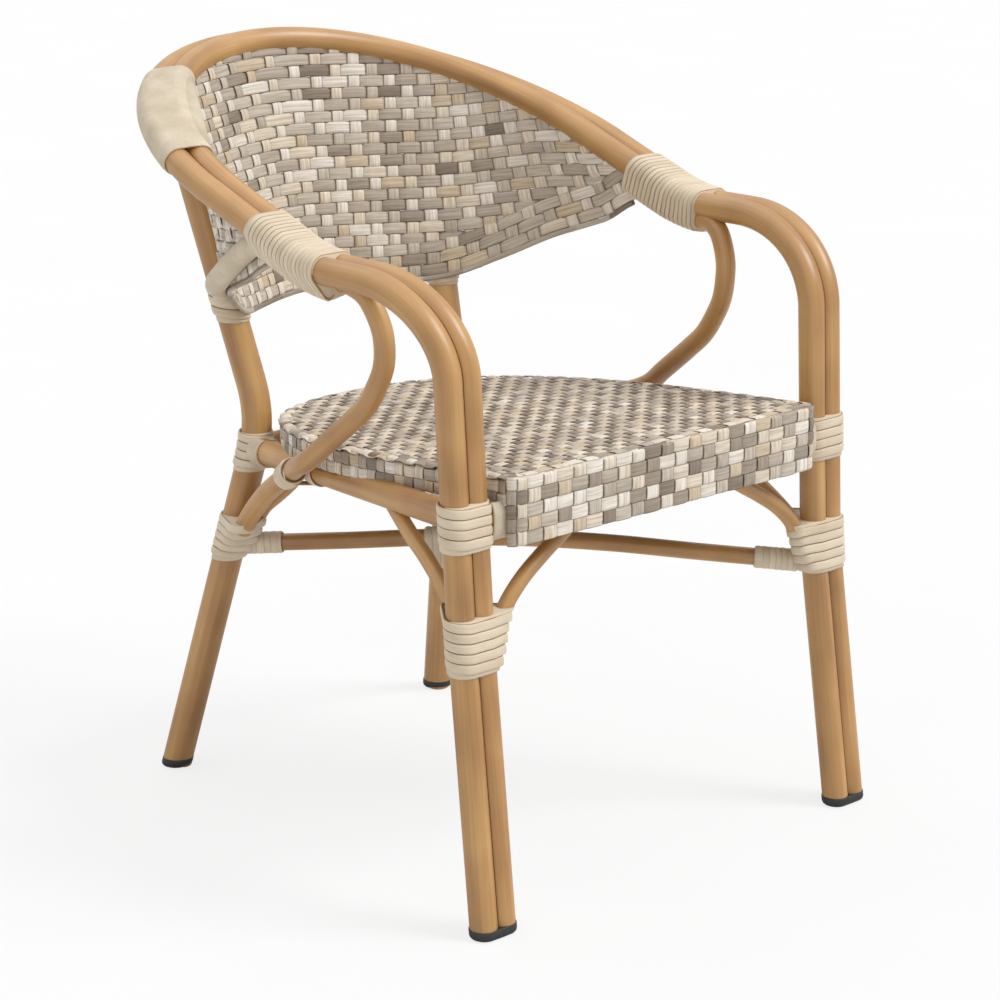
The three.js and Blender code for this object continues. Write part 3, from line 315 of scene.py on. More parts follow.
# A round pole; its ends are rounded off, and lay holds the way round it and the length along it
def pole(piece, points, radius, across=None, over=None, rounding=1.5, seed=0):
    if across is None:
        across, over = carried(points)
    route = Route(points)
    turn = np.linspace(0, QUARTER, END_STEPS)
    depth, less = rounding * (1 - np.cos(turn)), rounding * (1 - np.sin(turn))
    room = END_ROOM_SHARE * rounding
    inner = route.places[(route.places > room) & (route.places < route.length - room)]
    places = np.concatenate([depth, inner, route.length - depth[::-1]])
    radii = radius - np.concatenate([less, 0 * inner, less[::-1]])
    across, over = (unit(picked(places, route.places, values)) for values in (across, over))
    angle = np.linspace(0, FULL, TUBE_SIDES, endpoint=False)[None, :, None]
    spoke = across[:, None] * np.cos(angle) + over[:, None] * np.sin(angle)
    rings = route.at(places)[:, None] + spoke * radii[:, None, None]
    round_angle = np.broadcast_to(angle[..., 0], rings.shape[:2])
    along = places[:, None] + seed * LENGTH_SEED
    piece.loft(rings, vec(radius * np.cos(round_angle) + seed, radius * np.sin(round_angle), along))


# Frames across the tubes: origin, two directions across and one along


def upright_frame(place_at):
    def frame_at(z):
        along = unit(place_at(z + STRAND_PITCH) - place_at(z - STRAND_PITCH))
        origin = place_at(z)
        return origin, np.broadcast_to(SIDEWAYS, origin.shape), np.broadcast_to(REARWARD, origin.shape), along

    return frame_at


leg_frame, post_frame = upright_frame(leg_at), upright_frame(post_at)


def arm_frame(y):
    along = unit(arm_at(y + FINE_PITCH) - arm_at(y - FINE_PITCH))
    across = np.broadcast_to(SIDEWAYS, along.shape)
    return arm_at(y), across, np.cross(across, along), along


def back_frame(turn):
    step = 0.01
    along = unit(back_at(turn + step) - back_at(turn - step))
    across = turned(back_outward(turn), along, CROWN_TILT * np.sin(turn))
    return back_at(turn), across, np.cross(across, along), along


def route_frame(route):
    def frame_at(place):
        along = route.along(place)
        across = unit(np.cross(along, UP))
        return route.at(place), across, np.cross(across, along), along

    return frame_at


def fixed(*discs):
    discs = np.array(discs, float)
    return lambda places: np.broadcast_to(discs, (*np.shape(places), *discs.shape))


LOBES = fixed([LOBE_OFFSET, 0, LOBE_RADIUS], [-LOBE_OFFSET, 0, LOBE_RADIUS])


# Where a loop drawn tight round discs, some way off them, faces an angle
def loop_place(discs, offset, angle):
    step = 0.04

    def reach(turn):
        facing = discs[..., 0] * np.cos(turn)[..., None] + discs[..., 1] * np.sin(turn)[..., None]
        return np.max(facing + discs[..., 2], -1) + offset

    before, after = angle - step / 2, angle + step / 2
    near, far = reach(before), reach(after)
    a = (near * np.sin(after) - far * np.sin(before)) / math.sin(step)
    return a, (far * np.cos(before) - near * np.cos(after)) / math.sin(step)


# The points of such a loop, in the frame across the tubes
def loop_points(frame_there, discs, offset, angle):
    origin, across, over = frame_there[:3]
    a, b = loop_place(discs, offset, angle)
    return origin + across * a[:, None] + over * b[:, None]


# Windings of one strand each

TURN_STEPS = 64
TUCK_TURNS = 0.07
STRAND_LIFT, STRAND_ROOM, TUCK_DEPTH = 0.25, 0.1, 1
STRAND_WANDER, WANDERS_PER_TURN, WANDER_PLACES = 0.12, 3.1, np.arange(-2, 80)
DOME = [
    (-1, 0), (-1, 0.42), (-0.95, 0.66), (-0.86, 0.82), (-0.62, 0.95), (-0.3, 0.99), (0, 1), (0.3, 0.99),
    (0.62, 0.95), (0.86, 0.82), (0.95, 0.66), (1, 0.42), (1, 0),
]


def winding(piece, spec):
    count = round((spec["turns"] + 2 * TUCK_TURNS) * TURN_STEPS) + 1
    turns = np.linspace(-TUCK_TURNS, spec["turns"] + TUCK_TURNS, count)
    angle = spec["start"] + FULL * turns
    even = spec["first"] + spec["pitch"] * np.clip(turns, 0, spec["turns"])
    sink = smoothstep(np.maximum(-turns, turns - spec["turns"]), 0, TUCK_TURNS)
    offset = STRAND_LIFT - sink * (spec["thickness"] + TUCK_DEPTH)
    wanders = chance.uniform(-STRAND_WANDER, STRAND_WANDER, len(WANDER_PLACES))
    wander = np.interp(turns * WANDERS_PER_TURN, WANDER_PLACES, wanders)
    frame_there = spec["frame_at"](even + wander)
    base = loop_points(frame_there, spec["discs_at"](even), offset, angle)
    _, across, over, along = frame_there
    outward = across * np.cos(angle)[:, None] + over * np.sin(angle)[:, None]
    dome = np.array(DOME)
    rings = base[:, None] + outward[:, None] * (dome[:, 1] * spec["thickness"])[:, None]
    half = (spec["pitch"] - STRAND_ROOM) / 2
    rings = rings + along[:, None] * (dome[:, 0] * half)[:, None]
    lengths = np.concatenate([[0], np.cumsum(np.linalg.norm(np.diff(base, axis=0), axis=1))])
    lay = vec(dome[None, :, 0], spec["number"], lengths[:, None])
    piece.loft(rings, lay)


# Stretchers

STRETCHER_FRONT, STRETCHER_BACK = leg_at(STRETCHER_HEIGHT), post_at(STRETCHER_HEIGHT)


def stretcher_route(crest):
    back, crest_power = flipped(STRETCHER_BACK), 1.5
    shares = np.array([0, 0.2, 0.35, 0.5, 0.65, 0.8, 1])
    points = back + (STRETCHER_FRONT - back) * shares[:, None]
    points[:, 2] = STRETCHER_HEIGHT + crest * np.sin(np.pi * shares) ** crest_power
    return Route(smooth(points))


over_route, under_route = stretcher_route(OVER_CREST), stretcher_route(-UNDER_CREST)

# Braces

BOUND_TOP = 295
FRONT_BRACE_SHARES = [(0.08, 0.2), (0.22, 0.385), (0.4, 0.545), (0.58, 0.684), (0.78, 0.845), (1, 1)]
SIDE_BRACE_SHARES = [
    (0.12, 0.085, 0.144), (0.3, 0.255, 0.346), (0.5, 0.468, 0.548), (0.68, 0.667, 0.7), (1, 1, 1),
]
REAR_BRACE_SHARES = [(0.05, 0.12, 0.2), (0.2, 0.38, 0.44), (0.5, 0.66, 0.68), (1, 1, 1)]
UPPER_BOW_SHARES = [
    (0.93, 0.914, 0.96), (0.83, 0.989, 0.839), (0.78, 1, 0.746), (0.76, 0.984, 0.654), (0.76, 0.93, 0.562),
    (0.76, 0.856, 0.47), (0.78, 0.733, 0.378), (0.82, 0.529, 0.24), (0.84, 0.39, 0.147), (0.46, 0.187, 0.074),
]
LOWER_BOW_SHARES = [
    (0.2, 0.16, 0.1), (0.56, 0.455, 0.294), (0.81, 0.7, 0.51), (0.94, 0.83, 0.65), (1, 0.95, 0.82),
]


# A brace lies against its leg or post down to its foot, and leaves it where the binding ends
def brace_route(place_at, foot, aside, end_at, shares):
    start = place_at(BOUND_TOP) + aside
    end = end_at(start)
    return Route(smooth([place_at(foot) + aside, start, *(between(start, end, row) for row in shares)]))


def front_brace():
    foot, reach = 262, 190
    aside = vec(-(LOBE_OFFSET + LOBE_RADIUS + BRACE_RADIUS + GAP), 0, 0)
    shares = [(x, x, z) for x, z in FRONT_BRACE_SHARES]
    end = vec(leg_at(BOUND_TOP)[0] - reach, RAIL_START[1], RAIL_START[2])
    return brace_route(leg_at, foot, aside, lambda start: end, shares)


def side_brace():
    foot, reach, inset = 277, 141, 5.5
    behind = math.sqrt((LOBE_RADIUS + BRACE_RADIUS + GAP) ** 2 - inset**2)
    aside = vec(inset - LOBE_OFFSET, behind, 0)
    return brace_route(leg_at, foot, aside, lambda start: rail_at(start[1] + reach), SIDE_BRACE_SHARES)


def rear_brace():
    foot, reach, angle = 277, 118, math.radians(-112)
    aside = vec(math.cos(angle), math.sin(angle), 0) * (POST_RADIUS + BRACE_RADIUS + 2 * GAP)
    return brace_route(post_at, foot, aside, lambda start: rail_at(start[1] - reach), REAR_BRACE_SHARES)


ARM_BRACE_INSET, ARM_BRACE_DROP, ARM_BRACE_CONTACT = 14, 16, 65


def contact_place():
    outward = unit(np.cross(RAIL_START - RAIL_END, UP))
    outward = outward * np.sign(outward[0])
    return rail_at(ARM_BRACE_CONTACT) + outward * (RAIL_RADIUS + ARM_BRACE_RADIUS + 2 * GAP)


brace_contact = contact_place()


def arm_brace():
    back, front, foot_height, angle, bow = 2, 89.5, 258, math.radians(-66.7), 193

    def under(y):
        origin, across, over = arm_frame(y)[:3]
        return origin - across * ARM_BRACE_INSET - over * ARM_BRACE_DROP

    contact = brace_contact
    away = POST_RADIUS + ARM_BRACE_RADIUS + 2 * GAP
    foot = post_at(foot_height) + vec(away * math.cos(angle), away * math.sin(angle), 0)
    arm_end = under(-front)
    bow_end = vec(arm_end[0], contact[1] - bow, arm_end[2])
    upper = [between(contact, bow_end, shares) for shares in UPPER_BOW_SHARES]
    lower = [between(contact, foot, shares) for shares in LOWER_BOW_SHARES]
    top = [under(y) for y in (back, -back - RISE_FRONT, -front)]
    return Route(smooth([*top, *upper, contact, *lower, foot]))


front_brace_route, side_brace_route = front_brace(), side_brace()
rear_brace_route, arm_brace_route = rear_brace(), arm_brace()
side_rail_route = Route([RAIL_START, RAIL_END])
front_rail_route = Route([RAIL_START, flipped(RAIL_START)])

# The woven back as a surface: lengths along its lower edge, and heights up from that edge to the hoop

LOWER_EDGE_SHARES = [
    (1, 0, 1), (0.98, 0.16, 0.87), (0.945, 0.3, 0.72), (0.885, 0.42, 0.58), (0.74, 0.56, 0.33),
    (0.56, 0.71, 0.085), (0.37, 0.85, 0.012), (0.18, 0.95, 0), (0, 1, 0),
]


def lower_edge():
    sizes = [BACK_HALF_WIDTH, BACK_LOW_DEPTH - BACK_FRONT, BACK_WING_HEIGHT - BACK_LOW_HEIGHT]
    half = np.array(LOWER_EDGE_SHARES) * sizes + [0, BACK_FRONT, BACK_LOW_HEIGHT]
    return Route(smooth(np.vstack([half, flipped(half[:-1])[::-1]])))


edge_route = lower_edge()


def sheet_top(point):
    share = (point[1] - BACK_FRONT) / (BACK_LOW_DEPTH - BACK_FRONT)
    y = BACK_FRONT + (BACK_START + BACK_REACH - BACK_FRONT) * share
    if y <= BACK_START:
        origin, across, over = arm_frame(y)[:3]
    else:
        origin, across, over = back_frame(math.asin(min(1, (y - BACK_START) / BACK_REACH)))[:3]
    drop = math.sqrt(LOBE_RADIUS**2 - (BACK_INSET - BACK_THICKNESS / 2) ** 2) + 2 * GAP
    top = origin - across * (LOBE_OFFSET + BACK_INSET) - over * drop
    return top * [np.sign(point[0]) or 1, 1, 1]


TIP_RISE, TIP_LENGTH, TIP_ROOM, SURFACE_STEP = 13, 60, 9, 2


class BackSurface:
    def __init__(self):
        self.places = edge_route.even(SURFACE_STEP)
        self.low = edge_route.at(self.places)
        high = np.array([sheet_top(point) for point in self.low])
        # At both ends the edge runs up under the arm bindings
        end = np.minimum(self.places, edge_route.length - self.places)
        lifted = TIP_RISE * (1 - smoothstep(end, 0, TIP_LENGTH))
        self.low = self.low + unit(high - self.low) * lifted[:, None]
        self.heights = np.linalg.norm(high - self.low, axis=1)
        self.rise = unit(high - self.low)
        along = np.gradient(self.low, axis=0) + np.gradient(high, axis=0)
        self.face = unit(np.cross(along, self.rise))

    def pick(self, values, s):
        return picked(s, self.places, values)

    def height(self, s):
        return np.interp(s, self.places, self.heights)

    # A point so far along and up, and raised towards the sitter
    def at(self, s, m, lift):
        face = unit(self.pick(self.face, s))
        point = self.pick(self.low, s) + self.pick(self.rise, s) * m[..., None] - face * lift[..., None]
        return point, -face


back = BackSurface()

# Ribbons that are woven over and under each other

RIBBON = [(-1, 0), (-0.8, 0.34), (-0.35, 0.5), (0.35, 0.5), (0.8, 0.34), (1, 0), (0.8, -0.34), (-0.8, -0.34)]


# Lay holds the place across a ribbon, its number and how many visible bricks along it a point lies
def ribbon(piece, points, facing, width, number, bricks):
    tangent = unit(np.gradient(points, axis=0))
    side = unit(np.cross(facing, tangent))
    facing = np.cross(tangent, side)
    outline = np.array(RIBBON)
    width = np.broadcast_to(width, len(points))
    rings = points[:, None] + side[:, None] * (outline[None, :, :1] * width[:, None, None] / 2)
    rings = rings + facing[:, None] * (outline[:, 1] * WEAVE_THICKNESS)[:, None]
    piece.loft(rings, vec(outline[None, :, 0], number, bricks[:, None]))


# A strand is on top where its phase is an even number and below where it is odd
def wave(phase, steep=1.7):
    return np.clip(steep * np.cos(np.pi * phase), -1, 1)


def brick(phase):
    return (phase + 1) / 2


def varied(width, spread):
    return width + chance.uniform(-spread, spread)


def strayed(along, number, stray):
    size, rate, shift = stray
    return size * np.sin(along * rate + number * shift)


WEAVE_LIFT, WEAVE_THICKNESS, WEAVE_STEP, END_DIP, TOP_END_DIP = 1.1, 1.5, 2.2, 2.2, 2
# How far a strand strays from a straight line, how fast along it, and how differently from the next
BACK_STRAY, SKIRT_STRAY, TOP_ROW_STRAY, TOP_COLUMN_STRAY = (
    (0.4, 0.021, 2.4), (0.35, 0.03, 2), (0.5, 0.025, 1.9), (0.5, 0.02, 2.3)
)
BACK_ROW_PITCH, BACK_ROW_WIDTH, BACK_COLUMN_WIDTH = 13, 13.4, 13.8
BACK_BORDER, BACK_ROWS_MOST, ROW_STEP, PAST_TOP, ROW_DIP_START, ROW_DIP_SHARE = 5, 26, 2.5, 10, 2, 0.7
BACK_MIDDLE = edge_route.length / 2
# Rows above the lowest ones run level, so that in the wings they slip under these
LOW_ROWS, ROW_LEVEL = 3, 0.74
COLUMN_PITCH_MIDDLE, COLUMN_PITCH_WING, COLUMN_GROWTH_LEFT, COLUMN_GROWTH_RIGHT = 15.4, 25, 1, 0.1
COLUMN_LEAN, LEAN_START, LEAN_END, LEAN_ROUNDS, COLUMNS_PER_HALF = 0.15, 60, 330, 12, 30
WING_START, WING_EXTRA_WIDTH, WING_END_ROOM = 150, 2, 6


# The columns stand closer in the middle than in the wings, and closer on the sitter's right
def column_places():
    halves = []
    for growth in (COLUMN_GROWTH_LEFT, COLUMN_GROWTH_RIGHT):
        pitches = np.minimum(COLUMN_PITCH_WING, COLUMN_PITCH_MIDDLE + growth * np.arange(COLUMNS_PER_HALF))
        halves.append(np.cumsum(pitches))
    return np.concatenate([-halves[0][::-1], [0], halves[1]])


COLUMN_PLACES = column_places()
COLUMN_NUMBERS = np.arange(len(COLUMN_PLACES)) - len(COLUMN_PLACES) // 2


def column_lean(start):
    aside = start - BACK_MIDDLE
    return -COLUMN_LEAN * np.sign(aside) * smoothstep(np.abs(aside), LEAN_START, LEAN_END)


# Which column passes a place on the back, as a number with a fraction
def column_number(s, m):
    start = s
    for _ in range(LEAN_ROUNDS):
        start = s - column_lean(start) * m
    return np.interp(start - BACK_MIDDLE, COLUMN_PLACES, COLUMN_NUMBERS)


def row_height(row, s):
    first = BACK_BORDER + BACK_ROW_PITCH / 2
    rise = back.pick(back.low, s)[..., 2] - BACK_LOW_HEIGHT
    level = ROW_LEVEL if row >= LOW_ROWS else 0
    return first + BACK_ROW_PITCH * row - level * rise


# Which row passes a place on the back, as a number with a fraction
def row_number(s, m):
    rise = back.pick(back.low, s)[..., 2] - BACK_LOW_HEIGHT
    low = (m - BACK_BORDER) / BACK_ROW_PITCH - 0.5
    return np.where(low < LOW_ROWS - 0.5, low, low + ROW_LEVEL * rise / BACK_ROW_PITCH)


def back_rows(piece):
    s = edge_route.even(ROW_STEP)
    brink = BACK_BORDER + LOW_ROWS * BACK_ROW_PITCH
    shortest_run, width_spread = 6, 0.3
    for row in range(BACK_ROWS_MOST):
        m = row_height(row, s)
        here = m < back.height(s) + PAST_TOP
        if row >= LOW_ROWS:
            here &= m > brink - BACK_ROW_PITCH
        places = np.flatnonzero(here)
        for run in np.split(places, np.flatnonzero(np.diff(places) > 1) + 1):
            if len(run) < shortest_run:
                continue
            part, height = s[run], m[run]
            phase = column_number(part, height) + row
            lift = WEAVE_LIFT * wave(phase)
            if row >= LOW_ROWS:
                risen = smoothstep(height, brink - ROW_DIP_START, brink + ROW_DIP_SHARE * BACK_ROW_PITCH)
                lift = lift - END_DIP * (1 - risen)
            points, facing = back.at(part, height + strayed(part, row, BACK_STRAY), lift)
            ribbon(piece, points, facing, varied(BACK_ROW_WIDTH, width_spread), row + 1, brick(phase))


def back_columns(piece):
    hem, hem_rise, first_number, width_spread = 0.5, 2, 60, 0.8
    for place, column in zip(COLUMN_PLACES, COLUMN_NUMBERS):
        start = BACK_MIDDLE + place
        if abs(place) > BACK_MIDDLE - WING_END_ROOM:
            continue
        lean = float(column_lean(start))
        top = np.clip(start + lean * back.height(start), 0, edge_route.length)
        m = np.arange(hem, back.height(top) + PAST_TOP, WEAVE_STEP)
        s = start + lean * m
        phase = row_number(s, m) + column + 1
        lift = WEAVE_LIFT * wave(phase) * smoothstep(m, 0, BACK_BORDER + hem_rise)
        points, facing = back.at(s, m, lift)
        width = varied(BACK_COLUMN_WIDTH + WING_EXTRA_WIDTH * (abs(place) > WING_START), width_spread)
        ribbon(piece, points, facing, width, column + first_number, brick(phase))


# A strand is folded round the lower edge and hides the ends of the columns
def back_border(piece):
    half_thickness, brick_length, lay_spread = 1.9, 47, 0.6
    s = edge_route.even(ROW_STEP, TIP_ROOM, edge_route.length - TIP_ROOM)
    fold, deep, fold_share, inner_share = 0.5, 0.9, 0.7, 0.4
    outer = [(fold_share, -fold), (1, fold), (1, BACK_BORDER)]
    inner = [(inner_share, BACK_BORDER - fold), (inner_share, deep)]
    rear = [(-away, up) for away, up in reversed(outer)]
    rear_inner = [(-away, up) for away, up in reversed(inner)]
    outline = np.array([*rear, (0, -deep), *outer, *inner, *rear_inner]) * [half_thickness, 1]
    rings = [back.at(s, np.full(len(s), up), np.full(len(s), away))[0] for away, up in outline]
    across = outline[:, 1] / BACK_BORDER * 2 * lay_spread - lay_spread
    piece.loft(np.stack(rings, 1), vec(across[None, :], 1, (s / brick_length)[:, None]))


# The seat's outline, as the part has it


def seat_outline(steps=40):
    half, front, back_end = SEAT_HALF_WIDTH, -SEAT_FRONT, SEAT_BACK
    t = np.linspace(0, 1, steps)[:, None]

    def quadratic(a, b, c):
        return (1 - t) ** 2 * a + 2 * t * (1 - t) * b + t**2 * c

    def cubic(a, b, c, d):
        return (1 - t) ** 3 * a + 3 * t * (1 - t) ** 2 * b + 3 * t**2 * (1 - t) * c + t**3 * d

    def p(x, y):
        return np.array([x, y, 0.0])

    corner = quadratic(p(half - SEAT_CORNER, front), p(half, front), p(half, front + SEAT_CORNER))
    pull_shares, corner_share = (1.02, 0.38), 0.71
    side_pull = p(half * pull_shares[0], back_end * pull_shares[1])
    side = cubic(p(half, -SEAT_SIDE_END), side_pull, p(half * corner_share, back_end), p(0, back_end))
    edge = np.vstack([[p(0, front)], corner, side])
    return Route(np.vstack([edge, flipped(edge[:-1])[::-1]]))


outline_route = seat_outline()
SKIN_SINK, CORNER_ROOM, OUTLINE_STEP, SEAM_COVER = 1.3, 14, 2, 0.3
APRON = {
    "depth": APRON_DEPTH, "rows": 6, "row_pitch": 13.8, "column_pitch": 20.6, "column_width": 18,
    "number": 340,
}
EDGE = {"depth": 29, "rows": 3, "row_pitch": 12.4, "column_pitch": 15, "column_width": 13.8, "number": 400}
TOP_ROW_PITCH, TOP_COLUMN_PITCH, TOP_COLUMN_WIDTH = 12.8, 13.8, 13


# A place on the seat's skirt: so far round the outline, and so far up from its hem and over the rounded edge
def skirt_at(q, t, depth, lift):
    q = np.mod(q, outline_route.length)
    point = outline_route.at(q)
    before, after = (
        outline_route.at(np.mod(q + step, outline_route.length)) for step in (-OUTLINE_STEP, OUTLINE_STEP)
    )
    outward = np.cross(unit(after - before), UP)
    wall, bend = depth - SEAT_ROUND, SEAT_ROUND * QUARTER
    turn = np.clip((t - wall) / SEAT_ROUND, 0, QUARTER)
    inward = SEAT_ROUND * (1 - np.cos(turn)) + np.maximum(t - wall - bend, 0)
    place = point - outward * inward[..., None]
    drop = depth - np.minimum(t, wall) - SEAT_ROUND * np.sin(turn)
    place = place + UP * (seat_top_at(place[..., 1]) - drop)[..., None]
    facing = outward * np.cos(turn)[..., None] + UP * np.sin(turn)[..., None]
    return place + facing * (lift - SKIN_SINK)[..., None], facing


def front_end():
    places = outline_route.even(0.5, 0, outline_route.length / 2)
    return places[np.argmax(outline_route.at(places)[:, 1] > APRON_RETURN - SEAT_FRONT)]


# Round a corner the columns are narrower and stand closer
def skirt_measure(start, end):
    places = np.linspace(start, end, round(end - start))
    points = outline_route.at(np.mod(places, outline_route.length))
    along = unit(np.gradient(points, axis=0))
    turning = np.linalg.norm(np.diff(along, axis=0), axis=1)
    steps = np.diff(places) + CORNER_ROOM * turning
    return places, np.concatenate([[0], np.cumsum(steps)])


def skirt(piece, start, end, spec):
    row_step, row_spread, hem, past, column_step, column_spread, columns_from = 1.8, 0.2, 0.4, 7, 1.9, 0.6, 20
    depth, rows, row_pitch, number = (spec[key] for key in ("depth", "rows", "row_pitch", "number"))
    places, measure = skirt_measure(start, end)
    columns = round(measure[-1] / spec["column_pitch"])
    pitch = measure[-1] / columns
    q = np.linspace(start, end, round((end - start) / row_step))
    for row in range(rows):
        phase = np.interp(q, places, measure) / pitch - 0.5 + row
        t = row_pitch * (row + 0.5) + strayed(q, row, SKIRT_STRAY)
        points, facing = skirt_at(q, t, depth, WEAVE_LIFT * wave(phase))
        width = varied(row_pitch + SEAM_COVER, row_spread)
        ribbon(piece, points, facing, width, number + row, brick(phase))
    top = row_pitch * rows
    t = np.arange(hem, top + past, column_step)
    for column in range(columns):
        middle = varied(pitch * (column + 0.5), column_spread)
        left, place, right = np.interp([middle - 1, middle, middle + 1], measure, places)
        phase = t / row_pitch - 0.5 + column + 1
        lift = WEAVE_LIFT * wave(phase) - END_DIP * smoothstep(t, top, top + past - 1)
        points, facing = skirt_at(np.full(len(t), place), t, depth, lift)
        width = varied(spec["column_width"], column_spread) * (right - left) / 2
        ribbon(piece, points, facing, width, number + columns_from + column, brick(phase))


TOP_INSET, TOP_FRONT_INSET = 13, 17
TOP_FRONT, TOP_BACK = TOP_FRONT_INSET - SEAT_FRONT, SEAT_BACK - TOP_INSET
TOP_FACING = unit(vec(0, SEAT_DROP / (SEAT_FRONT + SEAT_BACK), 1))
half_ring = outline_route.at(outline_route.even(1, 0, outline_route.length / 2))


def top_points(x, y, lift):
    points = vec(x, y, seat_top_at(y)) + TOP_FACING * (lift - SKIN_SINK)[:, None]
    return points, np.broadcast_to(TOP_FACING, points.shape)


def top_rows(piece):
    beside, inset_share, least_half, step, dip_length = 2, 0.3, 20, 1.5, 5
    first_number, width_spread = 100, 0.2
    for row in range(int((TOP_BACK - TOP_FRONT) / TOP_ROW_PITCH)):
        y = TOP_FRONT + TOP_ROW_PITCH * (row + 0.5)
        side = half_ring[np.abs(half_ring[:, 1] - y) < beside, 0]
        past = half_ring[half_ring[:, 1] > y + TOP_INSET, 0]
        half = side.max() - TOP_INSET
        half = min(half, past.max() - inset_share * TOP_INSET) if len(past) else half
        if half < least_half:
            continue
        x = np.linspace(-half, half, round(half / step))
        phase = x / TOP_COLUMN_PITCH + row
        lift = WEAVE_LIFT * wave(phase) - TOP_END_DIP * smoothstep(np.abs(x), half - dip_length, half)
        points, facing = top_points(x, y + strayed(x, row, TOP_ROW_STRAY), lift)
        width = varied(TOP_ROW_PITCH + SEAM_COVER, width_spread)
        ribbon(piece, points, facing, width, first_number + row, brick(phase))


def top_columns(piece):
    inset_share, front_room, step, dip_length, first_number, width_spread = 0.6, 3, 2.9, 5, 200, 0.5
    columns = int((SEAT_HALF_WIDTH - TOP_INSET) / TOP_COLUMN_PITCH)
    for column in range(-columns, columns + 1):
        x = column * TOP_COLUMN_PITCH
        within = (half_ring[:, 0] > abs(x) + inset_share * TOP_INSET) & (half_ring[:, 1] > -SEAT_SIDE_END)
        near = half_ring[within, 1]
        last = min(near.max() if len(near) else -SEAT_SIDE_END, TOP_BACK)
        y = np.linspace(TOP_FRONT - front_room, last, round((last - TOP_FRONT) / step))
        phase = (y - TOP_FRONT) / TOP_ROW_PITCH - 0.5 + column + 1
        lift = WEAVE_LIFT * wave(phase) - TOP_END_DIP * smoothstep(y, last - dip_length, last)
        lift = lift - TOP_END_DIP * (1 - smoothstep(y, TOP_FRONT - front_room, TOP_FRONT + front_room))
        points, facing = top_points(x + strayed(y, column, TOP_COLUMN_STRAY), y, lift)
        width = varied(TOP_COLUMN_WIDTH, width_spread)
        ribbon(piece, points, facing, width, first_number + column, brick(phase))


# Sleeves of fine cane: many narrow turns side by side

TURN_PROFILE = np.array([(0, 0), (0.12, 0.62), (0.32, 0.94), (0.5, 1), (0.68, 0.94), (0.88, 0.62)])
TURN_SPREAD, HEIGHT_SPREAD, SLEEVE_SKEW, SKEW_ROOM = (0.75, 1.25), (0.7, 1.1), 0.35, 6
SLEEVE_END_SHARE, SLEEVE_END_FALL = 0.93, 0.6


def sleeve(piece, frame_at, discs_at, start, end, pitch, thickness, ridge, per_length=1, number=0, sides=64,
           cover=None):
    count = max(3, round((end - start) * per_length / pitch))
    widths = chance.uniform(*TURN_SPREAD, count)
    bounds = start + (end - start) * np.concatenate([[0], np.cumsum(widths)]) / widths.sum()
    shares, heights = TURN_PROFILE.T
    places = np.append((bounds[:-1, None] + np.diff(bounds)[:, None] * shares).ravel(), end)
    turns = np.append(np.repeat(np.arange(count), len(shares)), count)
    level = np.abs(2 * (places - start) / (end - start) - 1)
    outer = GAP + thickness - ridge - SLEEVE_END_FALL * smoothstep(level, SLEEVE_END_SHARE, 1)
    grown = chance.uniform(*HEIGHT_SPREAD, count + 1)[turns]
    offset = outer + ridge * np.append(np.tile(heights, count), 0) * grown
    skew = SLEEVE_SKEW * pitch / per_length
    angle = np.linspace(0, FULL, sides, endpoint=False)
    rings = []
    for place, away in zip([start, *places, end], [GAP, *offset, GAP]):
        edge = min(place - start, end - place) * per_length
        here = place + skew * np.cos(angle) * min(1, edge / SKEW_ROOM)
        ring = loop_points(frame_at(here), discs_at(here), away, angle)
        rings.append(cover(ring) if cover else ring)
    rings = np.array(rings)
    steps = np.linalg.norm(np.diff(rings[0], axis=0), axis=1)
    round_length = np.concatenate([[0], np.cumsum(steps)])
    across_turn = np.array([-1, *np.tile(2 * shares - 1, count), 1, 1])[:, None]
    numbers = number + np.array([turns[0], *turns, turns[-1]], float)[:, None]
    piece.loft(rings, vec(across_turn, numbers, round_length[None, :]), closed=True)


def under_seat(ring):
    ring = ring.copy()
    ring[:, 2] = np.minimum(ring[:, 2], seat_under_at(ring[:, 1]) - GAP)
    return ring


# Materials


# From a colour as a screen shows it to the light that it stands for
def linear(red, green, blue):
    def channel(value):
        share = value / 255
        return share / 12.92 if share <= 0.04045 else ((share + 0.055) / 1.055) ** 2.4

    return (channel(red), channel(green), channel(blue), 1)


class Nodes:
    def __init__(self, owner):
        owner.use_nodes = True
        self.tree = owner.node_tree

    # An input takes a plain value, or the output of another node
    def feed(self, made, inputs):
        for name, value in inputs.items():
            if isinstance(value, bpy.types.NodeSocket):
                self.tree.links.new(value, made.inputs[name])
            else:
                made.inputs[name].default_value = value

    def node(self, kind, settings=None, inputs=None):
        made = self.tree.nodes.new("ShaderNode" + kind)
        for name, value in (settings or {}).items():
            setattr(made, name, value)
        self.feed(made, inputs or {})
        return made

    def math(self, operation, a, b, c=0.0):
        return self.node("Math", {"operation": operation}, {0: a, 1: b, 2: c}).outputs[0]


